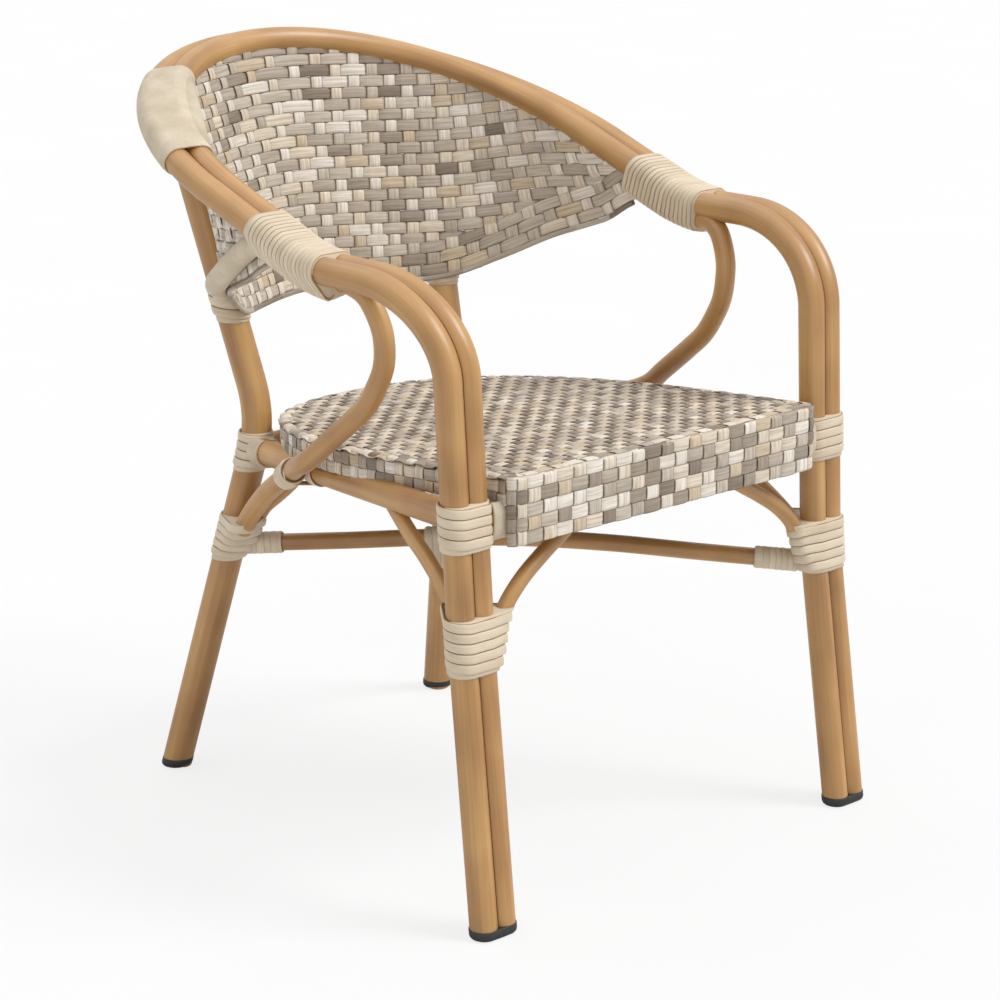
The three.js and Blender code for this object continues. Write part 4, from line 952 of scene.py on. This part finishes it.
class Shader(Nodes):
    def __init__(self, name, roughness, metallic=0.0, specular=0.5):
        self.material = bpy.data.materials.new(name)
        super().__init__(self.material)
        self.surface = self.tree.nodes["Principled BSDF"]
        looks = {"Roughness": roughness, "Metallic": metallic, "Specular IOR Level": specular}
        self.feed(self.surface, looks)

    def parts(self):
        lay = self.node("Attribute", {"attribute_name": "lay"})
        apart = self.node("SeparateXYZ", inputs={0: lay.outputs["Vector"]})
        return [apart.outputs[i] for i in range(3)]

    def joined(self, x, y, z):
        return self.node("CombineXYZ", inputs={0: x, 1: y, 2: z}).outputs[0]

    def noise(self, vector, scale, detail=3.0, rough=0.5):
        inputs = {"Vector": vector, "Scale": scale, "Detail": detail, "Roughness": rough}
        return self.node("TexNoise", inputs=inputs).outputs["Fac"]

    def ramp(self, factor, stops, interpolation="LINEAR"):
        made = self.node("ValToRGB", inputs={"Fac": factor})
        ramp = made.color_ramp
        ramp.interpolation = interpolation
        while len(ramp.elements) < len(stops):
            ramp.elements.new(0.5)
        for element, (place, colour) in zip(ramp.elements, stops):
            element.position = place
            element.color = linear(*colour)
        return made.outputs["Color"]

    def mix(self, factor, a, b, blend="MIX"):
        settings = {"data_type": "RGBA", "blend_type": blend}
        return self.node("Mix", settings, {0: factor, 6: a, 7: b}).outputs[2]

    # Painted shade: a strand is darker towards its two edges, where it meets the next one
    def edge_shaded(self, base, v, start, edge_shade):
        edge = self.ramp(self.math("ABSOLUTE", v, 0.0), [(start, (255, 255, 255)), (1.0, edge_shade)])
        return self.mix(1.0, base, edge, "MULTIPLY")

    def colour(self, socket):
        self.feed(self.surface, {"Base Color": socket})

    def rough(self, factor, low, high):
        made = self.node("MapRange", inputs={"Value": factor, "To Min": low, "To Max": high})
        self.feed(self.surface, {"Roughness": made.outputs[0]})

    def bump(self, height, distance, strength=1.0):
        made = self.node("Bump", inputs={"Height": height, "Distance": distance, "Strength": strength})
        self.feed(self.surface, {"Normal": made.outputs[0]})


BUMP_METRES, FINE_BUMP_METRES, GRAIN_SPREAD = 0.0003, 0.0002, 0.08
# So that strands next to each other have a grain of their own
CANE_SEED, WEAVE_SEED = 5.37, 7.713


# Satin paint over the tubes, with broad soft streaks lengthways like peeled rattan
def painted():
    made = Shader("painted_pole", 0.42, specular=0.9)
    x, y, z = made.parts()
    broad = made.noise(made.joined(x, y, made.math("MULTIPLY", z, 0.06)), 0.07, 2)
    fine = made.noise(made.joined(x, y, made.math("MULTIPLY", z, 0.02)), 0.42, 3, 0.5)
    patches = made.noise(made.joined(x, y, z), 0.011, 2)
    tone = made.math("MULTIPLY_ADD", patches, 0.4, made.math("MULTIPLY", broad, 0.45))
    tone = made.math("MULTIPLY_ADD", fine, 0.15, tone)
    tones = [(0.36, (150, 104, 50)), (0.48, (173, 126, 66)), (0.6, (191, 145, 83)), (0.74, (213, 171, 114))]
    made.colour(made.ramp(tone, tones))
    made.rough(broad, 0.36, 0.5)
    made.bump(fine, FINE_BUMP_METRES, 0.4)
    return made.material


# Peeled cane: cream, with lengthways fibres, and painted shade that darkens the edges where turns meet
def caned(name, edge_shade):
    made = Shader(name, 0.55, specular=0.35)
    v, number, along = made.parts()
    seed = made.math("MULTIPLY", number, CANE_SEED)

    def grain(across_scale, along_scale, detail, rough):
        across_place = made.math("MULTIPLY", v, across_scale)
        along_place = made.math("MULTIPLY", along, along_scale)
        return made.noise(made.joined(across_place, seed, along_place), 1.0, detail, rough)

    fibre, patch = grain(3.2, 0.03, 4, 0.6), grain(0.2, 0.02, 2, 0.5)
    tone = made.math("MULTIPLY_ADD", patch, 0.6, made.math("MULTIPLY", fibre, 0.4))
    base = made.ramp(tone, [(0.3, (200, 182, 155)), (0.5, (215, 199, 174)), (0.7, (228, 214, 191))])
    # Painted shade: the edges of each turn darken towards the second colour given
    made.colour(made.edge_shaded(base, v, 0.88, edge_shade))
    made.bump(fibre, BUMP_METRES, 0.5)
    return made.material


# Fine cane that reads as one smooth matt cream skin
def felted():
    made = Shader("smooth_cane", 0.75, specular=0.25)
    place = made.node("TexCoord").outputs["Object"]
    grain = made.noise(place, 900, 3, 0.6)
    patch = made.noise(place, 40, 2)
    tone = made.math("MULTIPLY_ADD", patch, 0.5, made.math("MULTIPLY", grain, 0.5))
    made.colour(made.ramp(tone, [(0.35, (194, 179, 154)), (0.5, (206, 192, 169)), (0.65, (220, 207, 187))]))
    made.bump(grain, BUMP_METRES, 0.5)
    return made.material


# Variegated flat strands: each visible brick has a tone of its own, with fibres along it, and painted shade
# along the strand's edges
def woven(name, stops):
    made = Shader(name, 0.5, specular=0.35)
    v, number, bricks = made.parts()
    number = made.math("ROUND", number, 0.0)
    here = made.joined(number, made.math("FLOOR", bricks, 0.0), 0.0)
    pick = made.node("TexWhiteNoise", {"noise_dimensions": "2D"}, {"Vector": here}).outputs["Value"]
    base = made.ramp(pick, stops, "CONSTANT")
    seed = made.math("MULTIPLY", number, WEAVE_SEED)
    place = made.joined(made.math("MULTIPLY", v, 3.5), seed, made.math("MULTIPLY", bricks, 0.9))
    fibre = made.noise(place, 1.0, 4, 0.6)
    shade = made.ramp(fibre, [(0.32, (212, 207, 200)), (0.62, (255, 255, 255))])
    base = made.mix(1.0, base, shade, "MULTIPLY")
    # Painted shade: the strand's edges darken where it meets its neighbours
    made.colour(made.edge_shaded(base, v, 0.84, (176, 164, 150)))
    made.bump(fibre, BUMP_METRES, 0.5)
    return made.material


def speckled(name, stops, roughness, metallic):
    made = Shader(name, roughness, metallic)
    place = made.node("TexCoord").outputs["Object"]
    grain = made.noise(place, 220, 3)
    made.colour(made.ramp(grain, stops))
    made.rough(grain, roughness - GRAIN_SPREAD, roughness + GRAIN_SPREAD)
    made.bump(grain, BUMP_METRES, 0.4)
    return made.material


WHITE, CREAM, TAN, PALE = (240, 232, 220), (230, 217, 198), (214, 196, 170), (208, 197, 182)
TAUPE_LIGHT, TAUPE, TAUPE_DARK, BROWN = (192, 180, 165), (168, 155, 140), (146, 133, 118), (126, 111, 96)
paint, felt = painted(), felted()
# The colour given to each cane is the painted shade at the edges of its turns
cane, fine_cane = caned("cane", (168, 138, 108)), caned("fine_cane", (205, 184, 158))
back_row_look = woven("weave_back_rows", [
    (0, TAUPE), (0.08, TAUPE_LIGHT), (0.34, PALE), (0.62, CREAM), (0.77, TAN), (0.84, WHITE),
    (0.97, TAUPE_DARK)])
back_column_look = woven("weave_back_columns", [
    (0, WHITE), (0.4, CREAM), (0.7, PALE), (0.86, TAN), (0.93, TAUPE_LIGHT)])
border_look = woven("weave_border", [(0, TAUPE), (0.35, TAUPE_LIGHT), (0.6, PALE), (0.8, TAUPE_DARK)])
skirt_look = woven("weave_skirt", [
    (0, TAUPE), (0.2, CREAM), (0.4, TAUPE_LIGHT), (0.56, PALE), (0.66, TAN), (0.74, WHITE),
    (0.9, TAUPE_DARK)])
top_row_look = woven("weave_top_rows", [
    (0, PALE), (0.28, TAN), (0.5, CREAM), (0.76, TAUPE_LIGHT), (0.95, WHITE)])
top_column_look = woven("weave_top_columns", [
    (0, TAUPE), (0.3, TAUPE_DARK), (0.62, BROWN), (0.86, TAUPE_LIGHT), (0.95, PALE)])
rim_look = speckled("rim_metal", [(0.4, (150, 148, 144)), (0.6, (172, 170, 166))], 0.5, 0.6)
cap_look = speckled("cap_rubber", [(0.4, (28, 28, 30)), (0.65, (40, 40, 42))], 0.55, 0.0)
# Painted shade for the groove between the hoop's two tubes
groove_shade_look = speckled("groove_shade", [(0.4, (84, 52, 26)), (0.6, (104, 66, 36))], 0.8, 0.0)

# Hoop, posts, rails, braces and stretchers

POLE_SEEDS = {
    "frame_hoop": (0, 90), "rear_post": 170, "front_rail": 230, "side_rail": 310, "rear_rail": 370,
    "front_brace": 410, "front_side_brace": 470, "rear_side_brace": 530, "arm_brace": 590,
    "over_stretcher": 700, "under_stretcher": 760,
}
GROOVE_RADIUS, GROOVE_STAND, GROOVE_ROUNDING = 0.95, 0.3, 0.3
BRACE_STEP, BRACE_ROUNDING, BRACE_CUT, RAIL_SINK_SHARE = 4, 3, BOUND_TOP - 6, 0.5
STRETCHER_STEP, STRETCHER_ROOM = 6, 6


def hoop_line():
    leg_steps, bend_steps, arm_steps, turn_steps = 70, 26, 44, 64
    leg = leg_at(np.linspace(CAP_FLOOR, LEG_TOP_HEIGHT, leg_steps))
    bend = bend_at(np.linspace(0, QUARTER, bend_steps)[1:])
    arm = arm_at(np.linspace(bend[-1, 1], BACK_START, arm_steps)[1:])
    turn = np.linspace(0, QUARTER, turn_steps)[1:]
    points = np.vstack([leg, bend, arm, back_at(turn)])
    level = len(points) - len(turn)
    sides = np.vstack([np.tile(SIDEWAYS, (level, 1)), back_outward(turn)])
    tilt = np.concatenate([np.zeros(level), CROWN_TILT * np.sin(turn)])
    points = np.vstack([points, flipped(points[:-1])[::-1]])
    outward = np.vstack([sides, flipped(sides[:-1])[::-1]])
    tilt = np.concatenate([tilt, tilt[:-1][::-1]])
    tangent = unit(np.gradient(points, axis=0))
    outward = unit(outward - tangent * np.sum(outward * tangent, -1, keepdims=True))
    # Each lobe turns down at the crown, on both halves alike
    across = turned(outward, tangent, tilt)
    return points, across, np.cross(across, tangent)


def make_hoop():
    points, across, over = hoop_line()
    hoop, groove_shade_line = Piece("hoop_poles"), Piece("hoop_groove_shade")
    for seed, side in zip(POLE_SEEDS["frame_hoop"], (1, -1)):
        pole(hoop, points + across * side * LOBE_OFFSET, LOBE_RADIUS, across, over, seed=seed)
    # Painted shade: where the two tubes meet, a fine brown line lies deep in the groove on either side,
    # standing for the shade there
    away = math.sqrt(LOBE_RADIUS**2 - LOBE_OFFSET**2) + GROOVE_STAND
    for side in (1, -1):
        pole(groove_shade_line, points + over * side * away, GROOVE_RADIUS, across, over, rounding=GROOVE_ROUNDING)
    hoop.show(paint, "frame", "frame_hoop")
    groove_shade_line.show(groove_shade_look, "frame", "frame_hoop")


def make_pole(show, name, node, line, radius, **ends):
    piece = Piece(f"{name}_pole")
    pole(piece, line, radius, seed=POLE_SEEDS[node], **ends)
    show(piece, paint, "frame", node)


def make_posts():
    steps, top = 110, POST_TOP[2] - POST_RADIUS * RISE_SLOPE / 2
    make_pole(show_pair, "post", "rear_post", post_at(np.linspace(CAP_FLOOR, top, steps)), POST_RADIUS)


def make_rails():
    rear_rail_route = Route([REAR_RAIL_END, flipped(REAR_RAIL_END)])
    steps, rear_steps, front_rooms, side_rooms, rear_rooms = 60, 40, (8, 8), (4, 6), (6, 6)
    for node, show, route, radius, count, (first, last) in (
        ("front_rail", Piece.show, front_rail_route, RAIL_RADIUS, steps, front_rooms),
        ("side_rail", show_pair, side_rail_route, RAIL_RADIUS, steps, side_rooms),
        ("rear_rail", Piece.show, rear_rail_route, REAR_RAIL_RADIUS, rear_steps, rear_rooms),
    ):
        make_pole(show, node, node, route.at(np.linspace(first, route.length - last, count)), radius)


def make_braces():
    for node, route, radius in (
        ("front_brace", front_brace_route, BRACE_RADIUS),
        ("front_side_brace", side_brace_route, BRACE_RADIUS),
        ("rear_side_brace", rear_brace_route, BRACE_RADIUS),
        ("arm_brace", arm_brace_route, ARM_BRACE_RADIUS),
    ):
        spare = RAIL_RADIUS * RAIL_SINK_SHARE if radius == BRACE_RADIUS else 0
        line = route.at(route.even(BRACE_STEP, 0, route.length - spare))
        make_pole(show_pair, node, node, line[line[:, 2] > BRACE_CUT], radius, rounding=BRACE_ROUNDING)


def make_stretchers():
    for node, route in (("over_stretcher", over_route), ("under_stretcher", under_route)):
        line = route.at(route.even(STRETCHER_STEP, STRETCHER_ROOM, route.length - STRETCHER_ROOM))
        line = flipped(line) if route is under_route else line
        make_pole(Piece.show, node, node, line, STRETCHER_RADIUS)


# Bindings

# Below a height the brace's own disc gives way to the tube that it lies against
DISC_SINK, JOIN_START, JOIN_END = 0.4 * STRAND_WIDTH, BOUND_TOP - 45, BOUND_TOP + 2


def bound_discs(frame_at, always, routes):
    def discs_at(height):
        origin = frame_at(height)[0]
        rows = [np.broadcast_to(disc, (*np.shape(height), 3)) for disc in always]
        for route, radius in routes:
            disc = route.disc_at(height - DISC_SINK, radius, origin)
            share = smoothstep(height, JOIN_START, JOIN_END)[..., None]
            rows.append(disc * share + rows[-1] * (1 - share))
        return np.stack(rows, -2)

    return discs_at


# Each strand starts and ends on the side that faces away, out of sight
LEG_START, POST_START, ARM_START = math.radians(60), QUARTER, math.radians(-70)


def bindings():
    lobes = [(LOBE_OFFSET, 0, LOBE_RADIUS), (-LOBE_OFFSET, 0, LOBE_RADIUS)]
    post = [(0, 0, POST_RADIUS)]
    front_routes = [(front_brace_route, BRACE_RADIUS), (side_brace_route, BRACE_RADIUS)]
    rear_routes = [(arm_brace_route, ARM_BRACE_RADIUS), (rear_brace_route, BRACE_RADIUS)]
    arm_tube = (-ARM_BRACE_INSET, -ARM_BRACE_DROP, ARM_BRACE_RADIUS)
    strut_tube = (0, -STRUT_DROP, STRUT_RADIUS)
    leg = {"thickness": STRAND_THICKNESS, "frame_at": leg_frame, "start": LEG_START}
    rear = {"thickness": STRAND_THICKNESS, "frame_at": post_frame, "start": POST_START}
    arm = {"thickness": FINE_THICKNESS, "frame_at": arm_frame, "start": ARM_START}
    fine_pitch = FINE_LENGTH / FINE_TURNS
    only_lobes, only_post = bound_discs(leg_frame, lobes, []), bound_discs(post_frame, post, [])
    at_arm = bound_discs(arm_frame, [*lobes, arm_tube, strut_tube], [])
    with_front = bound_discs(leg_frame, lobes, front_routes)
    with_rear = bound_discs(post_frame, post, rear_routes)
    return {
        "front_upper_binding": {**leg, "discs_at": only_lobes, "turns": 4, "pitch": 10, "first": 386},
        "front_lower_binding": {**leg, "discs_at": with_front, "turns": 5, "pitch": 10, "first": 264},
        "rear_upper_binding": {**rear, "discs_at": only_post, "turns": 4, "pitch": 9.4, "first": 356},
        "rear_lower_binding": {**rear, "discs_at": with_rear, "turns": 5, "pitch": 9.2, "first": 253},
        "post_back_binding": {**rear, "discs_at": only_post, "turns": 3, "pitch": 10.8, "first": 519},
        "arm_binding": {**arm, "discs_at": at_arm, "turns": FINE_TURNS, "pitch": fine_pitch, "first": -74},
    }


# Under the strand a core fills the hollow between the tubes that it binds
def core(piece, spec):
    sides, steps, past_share, thickness_share, lay_across = 56, 24, 0.3, 0.4, 0.6
    angle = np.linspace(0, FULL, sides, endpoint=False)
    past, away = past_share * spec["pitch"], thickness_share * spec["thickness"]
    last = spec["first"] + spec["turns"] * spec["pitch"] + past
    rings = []
    for height in np.linspace(spec["first"] - past, last, steps):
        heights = np.full(len(angle), height)
        rings.append(loop_points(spec["frame_at"](heights), spec["discs_at"](heights), away, angle))
    piece.loft(np.array(rings), (lay_across, spec["number"], 0))


def make_bindings():
    first_number, numbers_apart = 3, 4
    for place, (name, spec) in enumerate(bindings().items()):
        spec["number"] = first_number + numbers_apart * place
        piece = Piece(name.replace("binding", "cane"))
        winding(piece, spec)
        core(piece, spec)
        show_pair(piece, fine_cane if name == "arm_binding" else cane, "cane", name)


SHOULDER = {"pitch": 3.4, "thickness": 2.3, "ridge": 0.16, "sides": 80}
STRAP = {"pitch": STRAP_WIDTH / 3, "thickness": WRAP_THICKNESS, "ridge": 0.25, "cover": under_seat}
KNOT_LOOP = {"pitch": 4.2, "thickness": 2.4, "ridge": 0.4, "number": 130, "cover": under_seat}
RAIL_LOOP = {"pitch": 4.2, "thickness": 2.2, "ridge": 0.4, "number": 136, "cover": under_seat}
COLLAR = {"pitch": 6, "thickness": 3.4, "ridge": 0.6, "number": 140, "sides": 48}
END_WRAP = {"pitch": 7.2, "thickness": STRETCHER_WRAP_THICKNESS, "ridge": 0.6, "number": 150, "sides": 48}
CROSSING = {"pitch": 6.5, "thickness": STRETCHER_WRAP_THICKNESS, "ridge": 0.6, "number": 190, "sides": 60}
RAIL_DISC = fixed([0, 0, RAIL_RADIUS])


def make_shoulder():
    shoulder = Piece("shoulder_cane")
    start = math.asin((SHOULDER_FRONT - BACK_START) / BACK_REACH)
    end = POST_TOP_TURN + SHOULDER_BACK_TURN
    per_turn = np.linalg.norm(back_at(end) - back_at(start)) / (end - start)
    sleeve(shoulder, back_frame, LOBES, start, end, per_length=per_turn, **SHOULDER)
    shoulder.mirrored("shoulder_cane_right").show(felt, "cane", "shoulder_wrap_right")


def make_straps():
    sink, past, drop, rise, front_number, side_number = 2, 3, 9, 4, 90, 110
    front, side = Piece("front_strap_cane"), Piece("side_strap_cane")
    start = LOBE_OFFSET + LOBE_RADIUS - sink
    end = start + STRAND_THICKNESS + FRONT_STRAP_ROOM + STRAP_WIDTH + past
    tall = fixed([0, -drop, RAIL_RADIUS], [0, rise, RAIL_RADIUS])
    sleeve(front, route_frame(front_rail_route), tall, start, end, number=front_number, **STRAP)
    show_pair(front, felt, "cane", "front_rail_strap")
    end = side_rail_route.length - POST_RADIUS + sink
    start = end - sink - STRAND_THICKNESS - SIDE_STRAP_ROOM - STRAP_WIDTH
    sleeve(side, route_frame(side_rail_route), RAIL_DISC, start, end, number=side_number, **STRAP)
    show_pair(side, felt, "cane", "side_rail_strap")


# The knot has a loop round brace and rail together, one round the rail alone, and a collar round the brace
def make_knot():
    half, rail_shares, collar_above, collar_below = 0.8 * STRAND_WIDTH, (2.6, 0.6), 9, 21
    knot = Piece("rail_brace_cane")
    frame_at = route_frame(side_rail_route)
    place = side_rail_route.length * (ARM_BRACE_CONTACT - RAIL_START[1]) / (RAIL_END[1] - RAIL_START[1])
    side_sign = 1 if frame_at(np.array([place]))[1][0, 0] > 0 else -1
    apart = side_sign * (RAIL_RADIUS + ARM_BRACE_RADIUS + 2 * GAP)
    both = fixed([0, 0, RAIL_RADIUS], [apart, 0, ARM_BRACE_RADIUS])
    sleeve(knot, frame_at, both, place - half, place + half, **KNOT_LOOP)
    start, end = (place - share * half for share in rail_shares)
    sleeve(knot, frame_at, RAIL_DISC, start, end, **RAIL_LOOP)
    away = np.linalg.norm(arm_brace_route.points - brace_contact, axis=1)
    middle = arm_brace_route.places[np.argmin(away)]
    start, end = middle - collar_above, middle + collar_below
    sleeve(knot, route_frame(arm_brace_route), fixed([0, 0, ARM_BRACE_RADIUS]), start, end, **COLLAR)
    show_pair(knot, cane, "cane", "rail_brace_binding")


def make_stretcher_wraps():
    disc = fixed([0, 0, STRETCHER_RADIUS])
    for name, route in (("over_stretcher", over_route), ("under_stretcher", under_route)):
        front = route.length - LOBE_OFFSET - LOBE_RADIUS - FRONT_WRAP_LENGTH
        for end_name, start, length in (
            ("front", front, FRONT_WRAP_LENGTH), ("rear", POST_RADIUS, REAR_WRAP_LENGTH),
        ):
            piece = Piece(f"{name}_{end_name}_cane")
            sleeve(piece, route_frame(route), disc, start, start + length, **END_WRAP)
            shown = piece.mirrored(piece.name) if route is under_route else piece
            shown.show(cane, "cane", f"{name}_{end_name}_wrap")
    crossing = Piece("crossing_cane")
    middle = over_route.length * STRETCHER_BACK[0] / (STRETCHER_BACK[0] + STRETCHER_FRONT[0])
    discs = fixed([0, 0, STRETCHER_RADIUS], [0, -(OVER_CREST + UNDER_CREST), STRETCHER_RADIUS])
    start, end = middle - CROSSING_WRAP_LENGTH, middle + CROSSING_WRAP_LENGTH
    sleeve(crossing, route_frame(over_route), discs, start, end, **CROSSING)
    crossing.show(cane, "cane", "crossing_wrap")


# Points that lie in the woven back or in front of it are moved out behind it
def behind_back(ring):
    least_depth, below = 2.4, 2
    apart = ring[:, None] - back.low[None]
    up = np.sum(apart * back.rise, -1, keepdims=True)
    rest = apart - back.rise * up
    nearest = np.argmin(np.linalg.norm(rest, axis=-1), axis=1)
    rows = np.arange(len(ring))
    face = back.face[nearest]
    depth = np.sum(rest[rows, nearest] * face, -1)
    short = np.where(up[rows, nearest, 0] > -below, np.maximum(0, least_depth - depth), 0)
    return ring + face * short[:, None]


def make_struts():
    arm_turns, shares, step, rounding = (1, 3), (0.13, 0.18, 0.23, 0.275), 3, 9

    def under(y):
        origin, _, over, _ = arm_frame(y)
        return origin - over * STRUT_DROP

    points = [under(turns * FINE_PITCH) for turns in arm_turns]
    for share in shares:
        place = share * edge_route.length
        tangent = edge_route.along(place)
        outward = unit(vec(-tangent[1], tangent[0], 0))
        outward = outward * np.sign(outward[0])
        points.append(edge_route.at(place) + outward * STRUT_STANDOFF + UP * STRUT_RISE)
    route = Route(smooth(points))
    strut = Piece("strut_cane")
    pole(strut, route.at(route.even(step)), STRUT_RADIUS, rounding=rounding)
    strut.points = [behind_back(points) for points in strut.points]
    show_pair(strut, felt, "cane", "back_strut")


def seat_apron(piece):
    skirt(piece, -front_end(), front_end(), APRON)


def seat_edge(piece):
    skirt(piece, front_end(), outline_route.length - front_end(), EDGE)


def make_weave():
    for node, name, build, look in (
        ("back_weave", "back_rows", back_rows, back_row_look),
        ("back_weave", "back_columns", back_columns, back_column_look),
        ("back_weave", "back_border", back_border, border_look),
        ("seat_weave", "seat_apron", seat_apron, skirt_look),
        ("seat_weave", "seat_edge", seat_edge, skirt_look),
        ("seat_weave", "seat_top_rows", top_rows, top_row_look),
        ("seat_weave", "seat_top_columns", top_columns, top_column_look),
    ):
        piece = Piece(name)
        build(piece)
        piece.show(look, "weave", node)


def make_rod():
    height, search_step, step = 518.5, 1, 6
    post_side = float(post_at(np.array(height))[0]) - ROD_RADIUS
    half = edge_route.even(search_step, 0, edge_route.length / 2)
    start = half[np.argmax(edge_route.at(half)[:, 0] < post_side)]
    s = edge_route.even(step, start, edge_route.length - start)
    behind = np.full(len(s), -BACK_THICKNESS / 2 - ROD_RADIUS - 2 * GAP)
    line = back.at(s, np.full(len(s), float(ROD_RADIUS)), behind)[0]
    rod = Piece("lower_rod")
    pole(rod, line, ROD_RADIUS)
    rod.show(paint, "rim", "back_rod")


# A cap is rounded off at the floor and covers both tubes of a leg
def cap(name, node, place_at, discs):
    piece, sides = Piece(name), 56
    angle = np.linspace(0, FULL, sides, endpoint=False)
    rings = []
    for height, inset in CAP_SHAPE:
        away = np.full(len(angle), CAP_WALL - inset)
        a, b = loop_place(discs(np.zeros(len(angle))), away, angle)
        rings.append(place_at(height) + vec(a, b, 0))
    piece.loft(np.array(rings), (0, 0, 0))
    show_pair(piece, cap_look, "cap", node)


# Heights on a cap, and how far its side stands in from the widest there
CAP_SHAPE = [
    (0.0, 5.5), (0.3, 3.8), (1.1, 2.1), (2.4, 0.8), (3.8, 0.2), (5.2, 0), (CAP_HEIGHT - 0.5, 0),
    (CAP_HEIGHT, 0.3), (CAP_HEIGHT, 1.2),
]


def make_caps():
    cap("front_cap", "front_foot_cap", leg_at, LOBES)
    cap("rear_cap", "rear_foot_cap", post_at, fixed([0, 0, POST_RADIUS]))


make_hoop()
make_posts()
make_rails()
make_braces()
make_stretchers()
make_bindings()
make_shoulder()
make_straps()
make_knot()
make_stretcher_wraps()
make_struts()
make_weave()
make_rod()
make_caps()

for name in ("seat_rim", "seat_slat_1", "seat_slat_2", "seat_slat_3"):
    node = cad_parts[name]
    node.data.materials.clear()
    node.data.materials.append(rim_look)


# Floor, light and camera

FLOOR_HALF_METRES, FLOOR_WHITE_SHARE, STUDIO_STRENGTH, FULL_WHITE = 60, 0.78, 0.36, (1, 1, 1, 1)
CAMERA_AZIMUTH, CAMERA_ELEVATION, CAMERA_PLACE = -43.272, 15.502, (-2119.27, -2277.83 + SHIFT, 1194.69)
SENSOR_WIDTH, LENS, CLIP_METRES = 36, 108.065, (0.1, 200)
# Each lamp's name, the way its light goes, its strength, and how wide it is in degrees
LAMPS = [
    ("key", (-0.55, 0.72, -1.0), 1.95, 25), ("fill", (0.75, 0.5, -0.5), 0.25, 60),
    ("top", (0.1, -0.3, -1.0), 1.15, 90),
]


def make_floor():
    signs = (-1, -1), (1, -1), (1, 1), (-1, 1)
    corners = [(x * FLOOR_HALF_METRES, y * FLOOR_HALF_METRES, 0) for x, y in signs]
    mesh = bpy.data.meshes.new("floor")
    mesh.from_pydata(corners, [], [(0, 1, 2, 3)])
    floor = bpy.data.objects.new("floor", mesh)
    bpy.context.scene.collection.objects.link(floor)
    made = Shader("floor_paper", 0.9, specular=0.1)
    place = made.node("TexCoord").outputs["Object"]
    made.colour(made.ramp(made.noise(place, 3, 2), [(0.3, (228, 228, 228)), (0.7, (233, 233, 233))]))
    # The camera sees the paper mixed with pure white, so that the shadows stay faint
    share = made.math("MULTIPLY", made.node("LightPath").outputs["Is Camera Ray"], FLOOR_WHITE_SHARE)
    white = made.node("Emission", inputs={"Color": FULL_WHITE, "Strength": 1.0}).outputs[0]
    mixed = made.node("MixShader", inputs={0: share, 1: made.surface.outputs[0], 2: white}).outputs[0]
    made.feed(made.tree.nodes["Material Output"], {"Surface": mixed})
    mesh.materials.append(made.material)


# The world lights the chair softly, and shows as pure white
def make_world():
    world = bpy.data.worlds.new("studio")
    bpy.context.scene.world = world
    made = Nodes(world)
    light, shown = (
        made.node("Background", inputs={"Color": FULL_WHITE, "Strength": strength}).outputs[0]
        for strength in (STUDIO_STRENGTH, 1.0)
    )
    path = made.node("LightPath").outputs
    seen = made.math("MAXIMUM", path["Is Camera Ray"], path["Is Glossy Ray"])
    mixed = made.node("MixShader", inputs={0: seen, 1: light, 2: shown}).outputs[0]
    made.feed(made.tree.nodes["World Output"], {"Surface": mixed})


def place_towards(thing, towards):
    thing.rotation_mode = "QUATERNION"
    thing.rotation_quaternion = Vector(towards).to_track_quat("-Z", "Y")
    bpy.context.scene.collection.objects.link(thing)


def make_lamps():
    for name, towards, strength, width in LAMPS:
        lamp = bpy.data.lights.new(name, "SUN")
        lamp.energy = strength
        lamp.angle = math.radians(width)
        place_towards(bpy.data.objects.new(name, lamp), towards)


def make_camera():
    azimuth, elevation = math.radians(CAMERA_AZIMUTH), math.radians(CAMERA_ELEVATION)
    camera = bpy.data.cameras.new("camera")
    camera.sensor_width = SENSOR_WIDTH
    camera.lens = LENS
    camera.clip_start, camera.clip_end = CLIP_METRES
    seen = bpy.data.objects.new("camera", camera)
    seen.location = Vector(CAMERA_PLACE) * MM
    level = math.cos(elevation)
    place_towards(seen, (-math.sin(azimuth) * level, math.cos(azimuth) * level, -math.sin(elevation)))
    bpy.context.scene.camera = seen


make_floor()
make_world()
make_lamps()
make_camera()
bpy.context.scene.view_settings.view_transform = "Standard"

bpy.context.view_layer.update()
